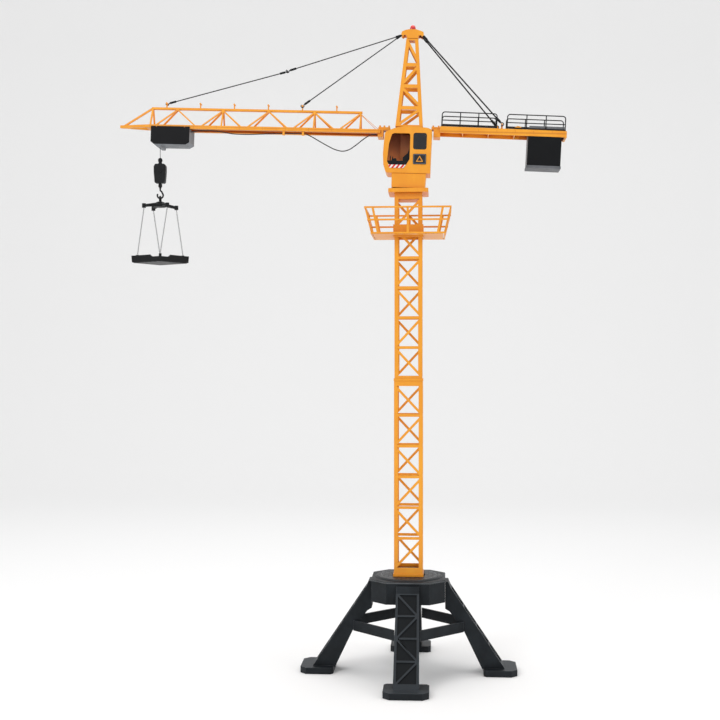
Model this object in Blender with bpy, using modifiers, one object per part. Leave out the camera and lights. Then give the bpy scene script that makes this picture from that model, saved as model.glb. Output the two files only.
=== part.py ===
"""Toy tower crane: four-legged base, lattice mast, slewing cab and peak, jib with trolley, hook and pallet.

Lengths below are in millimetres and are turned into metres as each shape is made. +Z is up, the jib points
along -X and the counter-jib along +X. The slewing axis is the mast's centre line.
"""

import math

import bmesh
import bpy
from mathutils import Matrix, Vector

MM = 0.001
GAP = 0.3
MAST_X = 127.0
LEAN_DEG = 2.0
LEAN_Z = 893.3
DROOP_DEG = 1.0
DROOP_AT = (47.0, 998.8)

HUB_HALF = 67.0
HUB_CHAMFER = 28.0
HUB_Z = (134.0, 174.6)
DISC_RADIUS = 62.0
DISC_TOP = 177.3
FOOT_THICK = 11.5
FOOT_RADIAL = (137.0, 198.0)
FOOT_WIDTH = 79.0
LEG_WIDTH = (40.8, 45.3)
BRACE_Z = (77.0, 95.5)

MAST_LOW_HALF = 26.2
MAST_LOW_NODE = 191.3
MAST_LOW_BAY = 56.2
MAST_JOINT_Z = 535.4
MAST_UP_HALF = 25.3
MAST_UP_NODE = 542.0
MAST_UP_BAY = 54.8
MAST_TOP_Z = 879.6
MAST_BAYS = 6
POST = 7.4
WALL = 3.2

PLATFORM_Z = (801.8, 805.3)
PLATFORM_HALF = (63.5, 54.0)
RAIL_TOP_HALF = (77.0, 67.0)
RAIL_TOP_Z = 848.8
RAIL_MID_Z = 826.8

COLLAR_HALF = 36.5
COLLAR_Z = (879.9, 887.2)
PIVOT_RADIUS = 7.0
RING_TEETH = 25
PINION_TEETH = 10
PINION_Y = 18.3
NECK_Z = (889.0, 915.0)
CAB_HALF = 28.5
CAB_WALL = 2.0

JIB_FLOOR_Z = 995.8
JIB_HALF = 20.0
JIB_TOP_Z = 1031.2
JIB_NODES = [-93.0 - 86.0 * i for i in range(5)]
JIB_END_NODE = -484.2
JIB_ROOT = -55.0
JIB_TIP = -545.7
JIB_FOOT_REACH = 35.5
PEG_PIN_Z = 1039.0
PEGS = [-138.4 - 64.0 * i for i in range(6)]

DECK_TOP = 1003.7
DECK_X = (54.0, 283.0)
DECK_HALF = 21.0
COUNTER_HOOKS = (167.0, 159.5)
COUNTER_HOOK_Z = 1010.6

LINE_X = -466.0
BLOCK_Z = (904.1, 952.8)
HOOK_Z = 877.1
PALLET_Z = (755.3, 768.8)
SPREADER_TURN = 36.5
PALLET_TURN = 13.2

ORANGE = ((0.87, 0.33, 0.02), 0.36, 0.0)
BLACK = ((0.028, 0.031, 0.034), 0.48, 0.0)
GREY = ((0.10, 0.105, 0.11), 0.5, 0.0)
GLOSS_BLACK = ((0.012, 0.012, 0.014), 0.12, 0.0)
RED = ((0.72, 0.03, 0.03), 0.25, 0.0)
STEEL = ((0.62, 0.62, 0.64), 0.3, 1.0)
BRASS = ((0.72, 0.55, 0.25), 0.35, 1.0)
WHITE = ((0.8, 0.8, 0.78), 0.45, 0.0)


def clear_scene():
    """Removes every object that the file opened with."""
    for obj in list(bpy.data.objects):
        bpy.data.objects.remove(obj, do_unlink=True)


def new_collection(name):
    group = bpy.data.collections.new(name)
    bpy.context.scene.collection.children.link(group)
    return group


def paint(obj, look):
    """Gives an object its own Principled BSDF with a colour, a roughness and a metallic value."""
    colour, roughness, metallic = look
    mat = bpy.data.materials.new(obj.name + "_material")
    mat.use_nodes = True
    shader = mat.node_tree.nodes["Principled BSDF"]
    shader.inputs["Base Color"].default_value = (*colour, 1.0)
    shader.inputs["Roughness"].default_value = roughness
    shader.inputs["Metallic"].default_value = metallic
    obj.data.materials.clear()
    obj.data.materials.append(mat)


def solid(name, mesh):
    """A mesh as an object in the crane's collection."""
    obj = bpy.data.objects.new(name, mesh)
    CRANE.objects.link(obj)
    return obj


def box(name, x, y, z):
    """A block given by its low and high limits in x, y and z."""
    bm = bmesh.new()
    bmesh.ops.create_cube(bm, size=1.0)
    for vert in bm.verts:
        vert.co = [pair[1 if side > 0 else 0] * MM for pair, side in zip((x, y, z), vert.co)]
    mesh = bpy.data.meshes.new(name)
    bm.to_mesh(mesh)
    bm.free()
    return solid(name, mesh)


def along(p0, p1):
    """The rotation and midpoint that lay a z-aligned shape from p0 to p1, with its y side kept level."""
    a = Vector(p0) * MM
    b = Vector(p1) * MM
    way = (b - a).normalized()
    side = Vector((0, 1, 0)) if abs(way.y) < 0.9 else Vector((1, 0, 0))
    across = side.cross(way).normalized()
    turn = Matrix((across, way.cross(across), way)).transposed().to_4x4()
    return Matrix.Translation((a + b) / 2) @ turn, (b - a).length


def bar(name, p0, p1, width, depth):
    """A straight rectangular bar between two points: width across y, depth along y."""
    place, length = along(p0, p1)
    bm = bmesh.new()
    bmesh.ops.create_cube(bm, size=1.0)
    bmesh.ops.scale(bm, vec=(width * MM, depth * MM, length), verts=bm.verts)
    bm.transform(place)
    mesh = bpy.data.meshes.new(name)
    bm.to_mesh(mesh)
    bm.free()
    return solid(name, mesh)


def rod(name, p0, p1, radius, sides=16, radius_end=None):
    """A round bar or cone between two points."""
    place, length = along(p0, p1)
    bm = bmesh.new()
    bmesh.ops.create_cone(
        bm,
        cap_ends=True,
        segments=sides,
        radius1=radius * MM,
        radius2=(radius if radius_end is None else radius_end) * MM,
        depth=length,
    )
    bm.transform(place)
    mesh = bpy.data.meshes.new(name)
    bm.to_mesh(mesh)
    bm.free()
    mesh.shade_smooth()
    mesh.set_sharp_from_angle(angle=math.radians(40))
    return solid(name, mesh)


def taken(obj, name, matrix=None):
    """The evaluated object as a welded mesh object, in place of the original."""
    bpy.context.view_layer.update()
    graph = bpy.context.evaluated_depsgraph_get()
    mesh = bpy.data.meshes.new_from_object(obj.evaluated_get(graph))
    bm = bmesh.new()
    bm.from_mesh(mesh)
    if matrix is not None:
        bm.transform(matrix)
    bmesh.ops.remove_doubles(bm, verts=bm.verts, dist=1e-7)
    bmesh.ops.recalc_face_normals(bm, faces=bm.faces)
    bm.to_mesh(mesh)
    bm.free()
    bpy.data.objects.remove(obj, do_unlink=True)
    return solid(name, mesh)


SIDE = Matrix(((1, 0, 0, 0), (0, 0, -1, 0), (0, 1, 0, 0), (0, 0, 0, 1)))
FRONT = Matrix(((0, 0, 1, 0), (1, 0, 0, 0), (0, 1, 0, 0), (0, 0, 0, 1)))
PLAN = Matrix.Identity(4)
QUARTERS = [
    Matrix(((c, -s, 0, 0), (s, c, 0, 0), (0, 0, 1, 0), (0, 0, 0, 1))) for c, s in ((1, 0), (0, 1), (-1, 0), (0, -1))
]


def plate(name, loops, lo, hi, plane=SIDE):
    """A flat outline with its holes, filled and given its thickness from lo to hi across the plane."""
    curve = bpy.data.curves.new(name, "CURVE")
    curve.dimensions = "2D"
    curve.fill_mode = "BOTH"
    curve.extrude = (hi - lo) / 2 * MM
    for loop in loops:
        spline = curve.splines.new("POLY")
        spline.points.add(len(loop) - 1)
        for point, (a, b) in zip(spline.points, loop):
            point.co = (a * MM, b * MM, 0.0, 1.0)
        spline.use_cyclic_u = True
    obj = bpy.data.objects.new(name + "_outline", curve)
    CRANE.objects.link(obj)
    made = taken(obj, name)
    if plane is SIDE:
        lo, hi = -hi, -lo
    for vert in made.data.vertices:
        vert.co.z = (hi if vert.co.z > 0 else lo) * MM
    made.data.transform(plane)
    return made


def tube(name, points, radius, cyclic=False):
    """A wire along a run of points."""
    curve = bpy.data.curves.new(name, "CURVE")
    curve.dimensions = "3D"
    curve.bevel_depth = radius * MM
    curve.bevel_resolution = 2
    curve.use_fill_caps = True
    spline = curve.splines.new("POLY")
    spline.points.add(len(points) - 1)
    for point, co in zip(spline.points, points):
        point.co = (*[c * MM for c in co], 1.0)
    spline.use_cyclic_u = cyclic
    obj = bpy.data.objects.new(name + "_wire", curve)
    CRANE.objects.link(obj)
    wire = taken(obj, name)
    wire.data.shade_smooth()
    return wire


def revolved(name, profile, centre, steps=24):
    """A turned shape about a vertical line: the profile of (radius, height) runs down its outer side."""
    mesh = bpy.data.meshes.new(name)
    verts = [(r * MM, 0, z * MM) for r, z in profile]
    mesh.from_pydata(verts, [(i, i + 1) for i in range(len(verts) - 1)], [])
    obj = solid(name + "_profile", mesh)
    screw = obj.modifiers.new("turn", "SCREW")
    screw.steps = steps
    screw.render_steps = steps
    screw.use_merge_vertices = True
    screw.merge_threshold = 0.00001
    made = taken(obj, name, Matrix.Translation(Vector(centre) * MM))
    made.data.shade_smooth()
    made.data.set_sharp_from_angle(angle=math.radians(40))
    return made


def combine(target, tools, operation="UNION"):
    """Joins tools to a target, or cuts them from it, and removes the tools."""
    for tool in tools:
        step = target.modifiers.new(operation.lower(), "BOOLEAN")
        step.operation = operation
        step.object = tool
    made = taken(target, target.name)
    for tool in tools:
        bpy.data.objects.remove(tool, do_unlink=True)
    return made


def cut(target, *tools):
    return combine(target, tools, "DIFFERENCE")


def join(target, *tools):
    return combine(target, tools)


def inset(cell, margins):
    """A convex cell, counter-clockwise, with each side moved inwards by its own margin."""
    lines = []
    for i, (x0, y0) in enumerate(cell):
        x1, y1 = cell[(i + 1) % len(cell)]
        long = math.hypot(x1 - x0, y1 - y0)
        nx = -(y1 - y0) / long
        ny = (x1 - x0) / long
        lines.append((nx, ny, nx * x0 + ny * y0 + margins[i]))
    corners = []
    for i in range(len(lines)):
        a, b, c = lines[i - 1]
        d, e, f = lines[i]
        det = a * e - b * d
        corners.append(((c * e - b * f) / det, (a * f - c * d) / det))
    return corners


def empty(name, at, parent=None, turn=(0.0, 0.0, 0.0)):
    """A frame to hang pieces on, at a point of its parent's frame."""
    frame = bpy.data.objects.new(name, None)
    bpy.context.scene.collection.objects.link(frame)
    frame.parent = parent
    frame.location = Vector(at) * MM
    frame.rotation_euler = [math.radians(a) for a in turn]
    return frame


def hang(obj, frame, look, origin=(0.0, 0.0, 0.0)):
    """Parents a piece, shaped in coordinates where the frame stands at origin, to that frame."""
    obj.parent = frame
    obj.location = Vector(origin) * -MM
    paint(obj, look)
    return obj


# ---------------------------------------------------------------- base


def octagon(half, chamfer):
    h = half
    c = half - chamfer
    return [(c, -h), (h, -c), (h, c), (c, h), (-c, h), (-h, c), (-h, -c), (-c, -h)]


def make_hub(frame):
    hub = plate("base_hub", [octagon(HUB_HALF, HUB_CHAMFER)], HUB_Z[0], HUB_Z[1], PLAN)
    well = plate("well", [octagon(HUB_HALF - 3, HUB_CHAMFER)], HUB_Z[0] - 1, HUB_Z[1] - 3, PLAN)
    hub = cut(hub, well)
    spigot = box("spigot", (-18, 18), (-18, 18), (HUB_Z[1] - 4, DISC_TOP + 11))
    hub = join(hub, spigot)
    hang(hub, frame, BLACK)


def make_disc(frame):
    profile = [(DISC_RADIUS - 4, DISC_TOP), (DISC_RADIUS, DISC_TOP - 2.2), (DISC_RADIUS, HUB_Z[1] + GAP)]
    profile += [(30, HUB_Z[1] + GAP), (30, DISC_TOP), (DISC_RADIUS - 4, DISC_TOP)]
    hang(revolved("hub_top_disc", profile, (0, 0, 0), 40), frame, BLACK)


def leg_cell_cutters():
    """Triangular pockets between the ribs of the leg's outer face, in four bays."""
    top = Vector((78.5, 156.0))
    foot = Vector((171.0, 18.5))
    way = (foot - top).normalized()
    out = Vector((-way.y, way.x))
    length = (foot - top).length
    turn = Matrix(((0, way.x, out.x, 0), (1, 0, 0, 0), (0, way.y, out.y, 0), (0, 0, 0, 1)))
    place = Matrix.Translation(Vector((top.x, 0, top.y)) * MM) @ turn
    cutters = []
    bay = length / 4
    for i in range(4):
        w = 18.5 + 1.2 * i / 4
        lo = i * bay
        hi = lo + bay
        if i % 2 == 0:
            cells = [[(-w, lo), (w, hi), (-w, hi)], [(-w, lo), (w, lo), (w, hi)]]
        else:
            cells = [[(w, lo), (w, hi), (-w, hi)], [(-w, lo), (w, lo), (-w, hi)]]
        for cell in cells:
            loop = inset(cell, [1.7, 1.7, 1.7])
            tool = plate("pocket", [loop], -2.6, 4.0, PLAN)
            tool.data.transform(place)
            tool.data.flip_normals()
            cutters.append(tool)
    return cutters


def make_leg_mesh():
    """One leg with its foot pad moulded on, standing along +X of its own frame."""
    side = [(67.3, 118.6), (75, 114), (79, 108.8), (101.5, 78.4), (134.6, 10), (176.6, 10)]
    side += [(77, 158), (73, 168), (67.3, 168)]
    leg = plate("leg", [side], -LEG_WIDTH[1] / 2, LEG_WIDTH[1] / 2)
    for s in (-1, 1):
        wedge = [(60, s * LEG_WIDTH[0] / 2), (180, s * LEG_WIDTH[1] / 2), (180, s * 40), (60, s * 40)]
        leg = cut(leg, plate("taper", [wedge], 0, 180, PLAN))
    r0, r1 = FOOT_RADIAL
    w = FOOT_WIDTH / 2
    c = 11
    pad = [(r0, -w + 5), (r0 + 5, -w), (r1 - c, -w), (r1, -w + c), (r1, w - c), (r1 - c, w), (r0 + 5, w), (r0, w - 5)]
    foot = plate("pad", [pad], 0, FOOT_THICK, PLAN)
    leg = join(leg, foot)
    leg = cut(leg, *leg_cell_cutters())
    bevel = leg.modifiers.new("edge", "BEVEL")
    bevel.width = 0.0009
    bevel.segments = 1
    bevel.limit_method = "ANGLE"
    bevel.angle_limit = math.radians(50)
    leg = taken(leg, "leg")
    mesh = leg.data
    bpy.data.objects.remove(leg, do_unlink=True)
    return mesh


def make_legs(frame):
    mesh = make_leg_mesh()
    for name, turn in (("leg_right", 0), ("leg_back", 90), ("leg_left", 180), ("leg_front", 270)):
        leg = solid(name, mesh.copy())
        hang(leg, frame, BLACK)
        leg.rotation_euler = (0, 0, math.radians(turn))


def make_braces(frame):
    near = LEG_WIDTH[0] / 2 + 2.2
    far = 121.0 - near
    outline = [(far + 2.8, near), (near, far + 2.8), (near, far - 2.8), (far - 2.8, near)]
    mesh = plate("brace", [outline[::-1]], BRACE_Z[0], BRACE_Z[1], PLAN).data
    bpy.data.objects.remove(bpy.data.objects["brace"], do_unlink=True)
    spots = (("brace_back_right", 0), ("brace_back_left", 90), ("brace_front_left", 180), ("brace_front_right", 270))
    for name, turn in spots:
        brace = solid(name, mesh.copy())
        hang(brace, frame, BLACK)
        brace.rotation_euler = (0, 0, math.radians(turn))


def prisms(name, cells, lo, hi, plane=SIDE):
    """Several separate prisms as one cutter, each a convex cell carried from lo to hi across the plane."""
    bm = bmesh.new()
    for cell in cells:
        ends = []
        for depth in (lo, hi):
            ends.append([bm.verts.new(plane @ Vector((a * MM, b * MM, depth * MM))) for a, b in cell])
        bm.faces.new(ends[0])
        bm.faces.new(ends[1][::-1])
        for i in range(len(cell)):
            j = (i + 1) % len(cell)
            bm.faces.new((ends[0][i], ends[0][j], ends[1][j], ends[1][i]))
    bmesh.ops.recalc_face_normals(bm, faces=bm.faces)
    mesh = bpy.data.meshes.new(name)
    bm.to_mesh(mesh)
    bm.free()
    return solid(name, mesh)


def diagonal_cells(half_at, levels, post, rising, bars):
    """Two triangular holes in each bay of a lattice face, with a diagonal that turns at every level."""
    cells = []
    level, lean = bars
    for i in range(len(levels) - 1):
        lo, hi = levels[i], levels[i + 1]
        a, b = half_at(lo), half_at(hi)
        if (i % 2 == 0) == rising:
            cells.append(inset([(-a, lo), (b, hi), (-b, hi)], [lean, level, post]))
            cells.append(inset([(-a, lo), (a, lo), (b, hi)], [level, post, lean]))
        else:
            cells.append(inset([(a, lo), (b, hi), (-b, hi)], [post, level, lean]))
            cells.append(inset([(-a, lo), (a, lo), (-b, hi)], [level, lean, post]))
    return cells


def mirrored(cells):
    return [[(-x, z) for x, z in cell][::-1] for cell in cells]


def make_mast_section(name, half, z, levels, rising, frame):
    outer = box(name, (-half, half), (-half, half), z)
    core = half - WALL
    hollow = box("hollow", (-core, core), (-core, core), (z[0] - 5, z[1] + 5))
    mast = cut(outer, hollow)
    cells = diagonal_cells(lambda level: half, levels, POST, rising, (2.4, 2.2))
    for plane in (SIDE, FRONT):
        near = prisms("bays", cells, half + 5, 5, plane)
        far = prisms("bays", mirrored(cells), -half - 5, -5, plane)
        mast = cut(mast, near, far)
    wide = half + 1.5
    lip = box("lip", (-wide, wide), (-wide, wide), (z[0], z[0] + 4.5))
    mast = join(mast, cut(lip, box("bore", (-core, core), (-core, core), (z[0] - 5, z[0] + 10))))
    hang(mast, frame, ORANGE)


def make_mast(frame):
    foot = DISC_TOP + GAP
    low = [MAST_LOW_NODE + MAST_LOW_BAY * i for i in range(MAST_BAYS + 1)]
    high = [MAST_UP_NODE + MAST_UP_BAY * i for i in range(MAST_BAYS + 1)]
    make_mast_section("mast_lower", MAST_LOW_HALF, (foot, MAST_JOINT_Z - GAP / 2), low, True, frame)
    make_mast_section("mast_upper", MAST_UP_HALF, (MAST_JOINT_Z + GAP / 2, MAST_TOP_Z), high, False, frame)


def rectangle(hx, hy):
    return [(-hx, -hy), (hx, -hy), (hx, hy), (-hx, hy)]


def make_platform(frame):
    hx, hy = PLATFORM_HALF
    inner = MAST_UP_HALF + GAP
    floor = plate("service_platform", [rectangle(hx, hy), rectangle(inner, inner)[::-1]], *PLATFORM_Z, PLAN)
    sleeve = plate("sleeve", [rectangle(inner + 2, inner + 2), rectangle(inner, inner)[::-1]], 798.8, 821.8, PLAN)
    hang(join(floor, sleeve), frame, ORANGE)


def make_platform_railing(frame):
    """Two flared loops of rail on posts that stand at the floor's edge."""
    hx, hy = PLATFORM_HALF
    tx, ty = RAIL_TOP_HALF
    foot_z = PLATFORM_Z[0]
    base = (hx + GAP + 1.6, hy + GAP + 1.6)

    def flare(z):
        t = (z - foot_z) / (RAIL_TOP_Z - foot_z)
        return base[0] + (tx - base[0]) * t, base[1] + (ty - base[1]) * t

    pieces = []
    for z in (RAIL_TOP_Z, RAIL_MID_Z, foot_z + 1.7):
        rx, ry = flare(z)
        ring = [rectangle(rx + 1.5, ry + 1.5), rectangle(rx - 1.5, ry - 1.5)[::-1]]
        pieces.append(plate("platform_railing", ring, z - 1.5, z + 1.5, PLAN))
    tops = flare(RAIL_TOP_Z)
    feet = flare(foot_z + 0.5)
    for sx in (-0.82, 0.0, 0.82):
        for sy in (-1, 1):
            pieces.append(bar("post", (sx * feet[0], sy * feet[1], foot_z + 0.5), (sx * tops[0], sy * tops[1], RAIL_TOP_Z), 4, 2.6))
    for sy in (-0.78, 0.0, 0.78):
        for sx in (-1, 1):
            pieces.append(bar("post", (sx * feet[0], sy * feet[1], foot_z + 0.5), (sx * tops[0], sy * tops[1], RAIL_TOP_Z), 2.6, 4))
    hang(join(pieces[0], *pieces[1:]), frame, ORANGE)


def gear_outline(teeth, tip, root, centre=(0.0, 0.0)):
    loop = []
    for i in range(teeth):
        for share, radius in ((-0.26, root), (-0.15, tip), (0.15, tip), (0.26, root)):
            angle = 2 * math.pi * (i + share) / teeth
            loop.append((centre[0] + radius * math.cos(angle), centre[1] + radius * math.sin(angle)))
    return loop


def circle(radius, sides=20, centre=(0.0, 0.0)):
    step = 2 * math.pi / sides
    return [(centre[0] + radius * math.cos(i * step), centre[1] + radius * math.sin(i * step)) for i in range(sides)]


def make_collar(frame):
    half = COLLAR_HALF
    collar = plate("slew_collar", [octagon(half, 3)], COLLAR_Z[0], COLLAR_Z[1], PLAN)
    plug = plate("plug", [rectangle(21.5, 21.5)], COLLAR_Z[0] - 12, COLLAR_Z[0] + 1, PLAN)
    pivot = rod("pivot", (0, 0, COLLAR_Z[1] - 1), (0, 0, 907.3), PIVOT_RADIUS, 20)
    hang(join(collar, plug, pivot), frame, ORANGE)
    loops = [gear_outline(RING_TEETH, 12.75, 11.4), circle(PIVOT_RADIUS + GAP, 20)[::-1]]
    hang(plate("slew_ring_gear", loops, COLLAR_Z[1] + GAP, 898.8, PLAN), frame, WHITE)


def make_base(frame):
    make_hub(frame)
    make_disc(frame)
    make_legs(frame)
    make_braces(frame)
    make_mast(frame)
    make_platform(frame)
    make_platform_railing(frame)
    make_collar(frame)


# ---------------------------------------------------------------- turret


def make_neck(frame):
    """The square turntable under the cab: open below, its top plate bored for the pivot and the motor shaft."""
    lo, hi = NECK_Z
    outer = [(-30.8, lo), (30.2, lo), (31.5, hi), (-31.4, hi)]
    neck = plate("turret_neck", [outer], -27, 27)
    hollow = box("hollow", (-28.6, 28.2), (-24.8, 24.8), (lo - 1, hi - 3.2))
    bore = rod("bore", (0, 0, hi - 6), (0, 0, hi + 1), 9.5, 20)
    shaft = rod("shaft", (0, PINION_Y, hi - 6), (0, PINION_Y, hi + 1), 2.6, 12)
    hang(cut(neck, hollow, bore, shaft), frame, ORANGE)


CAB_OUTLINE = [
    (-40.4, 915.3), (39.0, 915.3), (39.3, 956.6), (40.0, 993.3), (38.0, 996.2), (32.3, 998.5), (10.3, 1000.8),
    (-11.6, 1000.3), (-24.7, 998.4), (-35.5, 994.3), (-44.2, 990.4), (-46.2, 985.8), (-47.7, 965.5),
    (-48.4, 949.1), (-47.0, 929.4), (-43.3, 918.5),
]
CAB_OPENING = [
    (-33.0, 923.8), (-10.0, 923.8), (-5.9, 929.3), (0.6, 940.4), (0.6, 985.3), (-1.4, 987.8), (-28.7, 987.8),
    (-33.0, 985.6), (-37.9, 968.0), (-40.6, 936.1),
]


def rounded(x, z, r):
    """A rectangle with eight-sided corners."""
    loop = []
    for cx, cz, start in ((x[1] - r, z[0] + r, -90), (x[1] - r, z[1] - r, 0), (x[0] + r, z[1] - r, 90), (x[0] + r, z[0] + r, 180)):
        for step in range(4):
            angle = math.radians(start + 30 * step)
            loop.append((cx + r * math.cos(angle), cz + r * math.sin(angle)))
    return loop


WINDOW = ((6.6, 30.6), (959.0, 988.8))


def make_cab_half(name, side, opened, frame):
    def span(a, b):
        return (min(side * a, side * b), max(side * a, side * b))

    half = plate(name, [CAB_OUTLINE], *span(GAP / 2, CAB_HALF))
    inner = inset(CAB_OUTLINE, [CAB_WALL] * len(CAB_OUTLINE))
    tools = [plate("inside", [inner], *span(-1, CAB_HALF - CAB_WALL))]
    pane = rounded((WINDOW[0][0] - GAP, WINDOW[0][1] + GAP), (WINDOW[1][0] - GAP, WINDOW[1][1] + GAP), 4)
    tools.append(plate("pane", [pane], *span(CAB_HALF - 4, CAB_HALF + 1)))
    tools.append(box("windscreen", (-60, -40), span(-1, 21.5), (932.8, 981.8)))
    if opened:
        tools.append(plate("opening", [CAB_OPENING], *span(CAB_HALF - 4, CAB_HALF + 1)))
    foot = box("foot", (-27, 27), span(-1, CAB_HALF - CAB_WALL - 0.1), (913.8, 920.8))
    tools.append(foot)
    hang(cut(half, *tools), frame, ORANGE)


def make_cab(frame):
    make_cab_half("cab_near_half", -1, True, frame)
    make_cab_half("cab_far_half", 1, False, frame)
    wall = box("cab_inner_wall", (-18.0, -16.4), (1.2, CAB_HALF - CAB_WALL - GAP), (921.8, 990.0))
    panel = box("panel", (-18.0, 36.5), (1.2, 2.8), (921.8, 990.0))
    hang(join(wall, panel), frame, ORANGE)
    for name, side in (("window_near", -1), ("window_far", 1)):
        lo, hi = sorted((side * (CAB_HALF - 1.8), side * (CAB_HALF - 0.2)))
        hang(plate(name, [rounded(*WINDOW, 3.7)], lo, hi), frame, GLOSS_BLACK)
    sign = plate("warning_sign", [rounded((7.1, 30.8), (931.8, 950.4), 1.2)], -CAB_HALF - 1.1, -CAB_HALF - GAP)
    hang(sign, frame, GLOSS_BLACK)


def make_console(frame):
    """The driver's seat and the desk in front of it, one black insert on the cab floor."""
    desk = box("console_and_seat", (-41.0, 2.0), (-25.8, -1.5), (922.8, 937.8))
    floor_edge = plate("edge", [[(-60, 925.8), (-42.5, 915.8), (-34.5, 921.3), (-40.5, 938.3), (-60, 938.8)]], -30, 0)
    desk = cut(desk, floor_edge)
    seat_side = [(-12.0, 936.8), (3.0, 936.8), (5.0, 965.3), (0.5, 965.3), (-3.5, 952.8), (-12.0, 944.8)]
    seat = plate("seat", [seat_side], -22, -5)
    dash = plate("dash", [[(-33.0, 936.8), (-22.0, 936.8), (-24.5, 943.3), (-32.0, 941.8)]], -22, -5)
    sticks = [rod("stick", (-35.0 + i * 4, -20 + i * 7, 936.8), (-35.0 + i * 4, -20 + i * 7, 947.3), 0.9, 8) for i in (0, 1)]
    hang(join(desk, seat, dash, *sticks), frame, BLACK)


def make_slew_drive(frame, pinion_frame):
    y = PINION_Y
    can = rod("slew_motor", (0, y, 916.0), (0, y, 945.8), 7.6, 20)
    boss = rod("boss", (0, y, 944.8), (0, y, 947.8), 3, 12)
    hang(join(can, boss), frame, STEEL)
    pinion = plate("slew_pinion", [gear_outline(PINION_TEETH, 5.25, 4.0)], 890.4, 898.8, PLAN)
    shaft = rod("shaft", (0, 0, 897.8), (0, 0, 915.4), 1.5, 12)
    hang(join(pinion, shaft), pinion_frame, WHITE, (0, 0, LEAN_Z))


PEAK_X = -2.5
PEAK_BASE = (25.2, 22.5, 1001.2)
PEAK_TOP = (11.0, 10.0, 1165.8)
PEAK_LEVELS = [1001.2, 1036.3, 1076.8, 1116.8, 1165.8]


def frustum(name, base, top):
    """A four-sided tapering block from (half x, half y, z) to (half x, half y, z)."""
    bm = bmesh.new()
    rings = []
    for hx, hy, z in (base, top):
        rings.append([bm.verts.new(Vector((x, y, z)) * MM) for x, y in rectangle(hx, hy)])
    bm.faces.new(rings[0][::-1])
    bm.faces.new(rings[1])
    for i in range(4):
        j = (i + 1) % 4
        bm.faces.new((rings[0][i], rings[0][j], rings[1][j], rings[1][i]))
    mesh = bpy.data.meshes.new(name)
    bm.to_mesh(mesh)
    bm.free()
    return solid(name, mesh)


def grown(shape, by, rise=0.0):
    return (shape[0] + by, shape[1] + by, shape[2] + rise)


def make_peak(frame):
    """Four leaning lattice sides, open below and closed by a plate at the top."""
    tall = PEAK_TOP[2] - PEAK_BASE[2]

    def half(axis, z):
        share = (z - PEAK_BASE[2]) / tall
        return PEAK_BASE[axis] + (PEAK_TOP[axis] - PEAK_BASE[axis]) * share

    peak = frustum("tower_peak", PEAK_BASE, PEAK_TOP)
    slope = [(PEAK_BASE[i] - PEAK_TOP[i]) / tall for i in (0, 1)]
    low = (PEAK_BASE[0] - 3 + slope[0], PEAK_BASE[1] - 3 + slope[1], PEAK_BASE[2] - 1)
    high = (half(0, PEAK_TOP[2] - 4) - 3, half(1, PEAK_TOP[2] - 4) - 3, PEAK_TOP[2] - 4)
    peak = cut(peak, frustum("hollow", low, high))
    for plane, axis in ((SIDE, 0), (FRONT, 1)):
        cells = diagonal_cells(lambda z: half(axis, z), PEAK_LEVELS, 6.4, True, (3.3, 2.4))
        near = prisms("bays", cells, 60, 1, plane)
        far = prisms("bays", cells if plane is SIDE else mirrored(cells), -60, -1, plane)
        peak = cut(peak, near, far)
    peak.data.transform(Matrix.Translation(Vector((PEAK_X, 0, 0)) * MM))
    hang(peak, frame, ORANGE)


HEAD_OUTLINE = [
    (-12.0, 1166.3), (8.0, 1166.3), (8.8, 1171.3), (12.5, 1172.3), (15.5, 1169.6), (18.6, 1172.8), (17.4, 1178.2),
    (12.0, 1180.4), (4.0, 1182.8), (-9.0, 1182.8), (-16.0, 1181.2), (-22.0, 1178.4), (-23.4, 1173.4),
    (-20.2, 1170.2), (-16.8, 1172.8), (-13.2, 1171.6),
]


HEAD_PINS = {"jib": (-19.3, 1175.3), "counter": (14.6, 1175.0)}


def make_head(frame):
    head = plate("peak_head", [HEAD_OUTLINE], -11, 11)
    slots = [box("slot", (-26, -14.6), (-9.2, 9.2), (1166, 1181)), box("slot", (9.6, 21), (-9.2, 9.2), (1166, 1180))]
    head = cut(head, *slots)
    pins = [rod("pin", (x, -10, z), (x, 10, z), 1.2, 10) for x, z in (HEAD_PINS["jib"], HEAD_PINS["counter"])]
    hang(join(head, *pins), frame, ORANGE)
    profile = [(0.0, 1193.6), (2.6, 1192.7), (4.6, 1190.2), (5.6, 1186.8), (6.0, 1183.1), (0.0, 1183.1)]
    hang(revolved("beacon", profile, (PEAK_X, 0, 0), 24), frame, RED)


# ---------------------------------------------------------------- jib


def truss_cells():
    """The openings of the jib's two leaning sides, as seen from the side, all cut straight across."""
    z0 = JIB_FLOOR_Z + 0.2
    z1 = JIB_TOP_Z - 4.0
    reach = JIB_FOOT_REACH
    t = 1.3
    cells = []
    for i, x in enumerate(JIB_NODES):
        left = [(x - reach, z0), (x, z0), (x, z1)]
        right = [(x, z0), (x + reach, z0), (x, z1)]
        if i in (0, 1, 3):
            cells.append(inset(left, [0.0, t, t]))
            cells.append(inset(right, [0.0, t, t]))
        else:
            cells.append(inset([left[0], right[1], right[2]], [0.0, t, t]))
        if i + 1 < len(JIB_NODES):
            nxt = JIB_NODES[i + 1]
            cells.append(inset([(nxt + reach, z0), (x - reach, z0), (x, z1), (nxt, z1)], [0.0, t, 0.0, t]))
        else:
            cells.append(inset([(JIB_END_NODE, z0), (x - reach, z0), (x, z1), (JIB_END_NODE, z1)], [0.0, t, 0.0, t]))
    return cells


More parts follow.
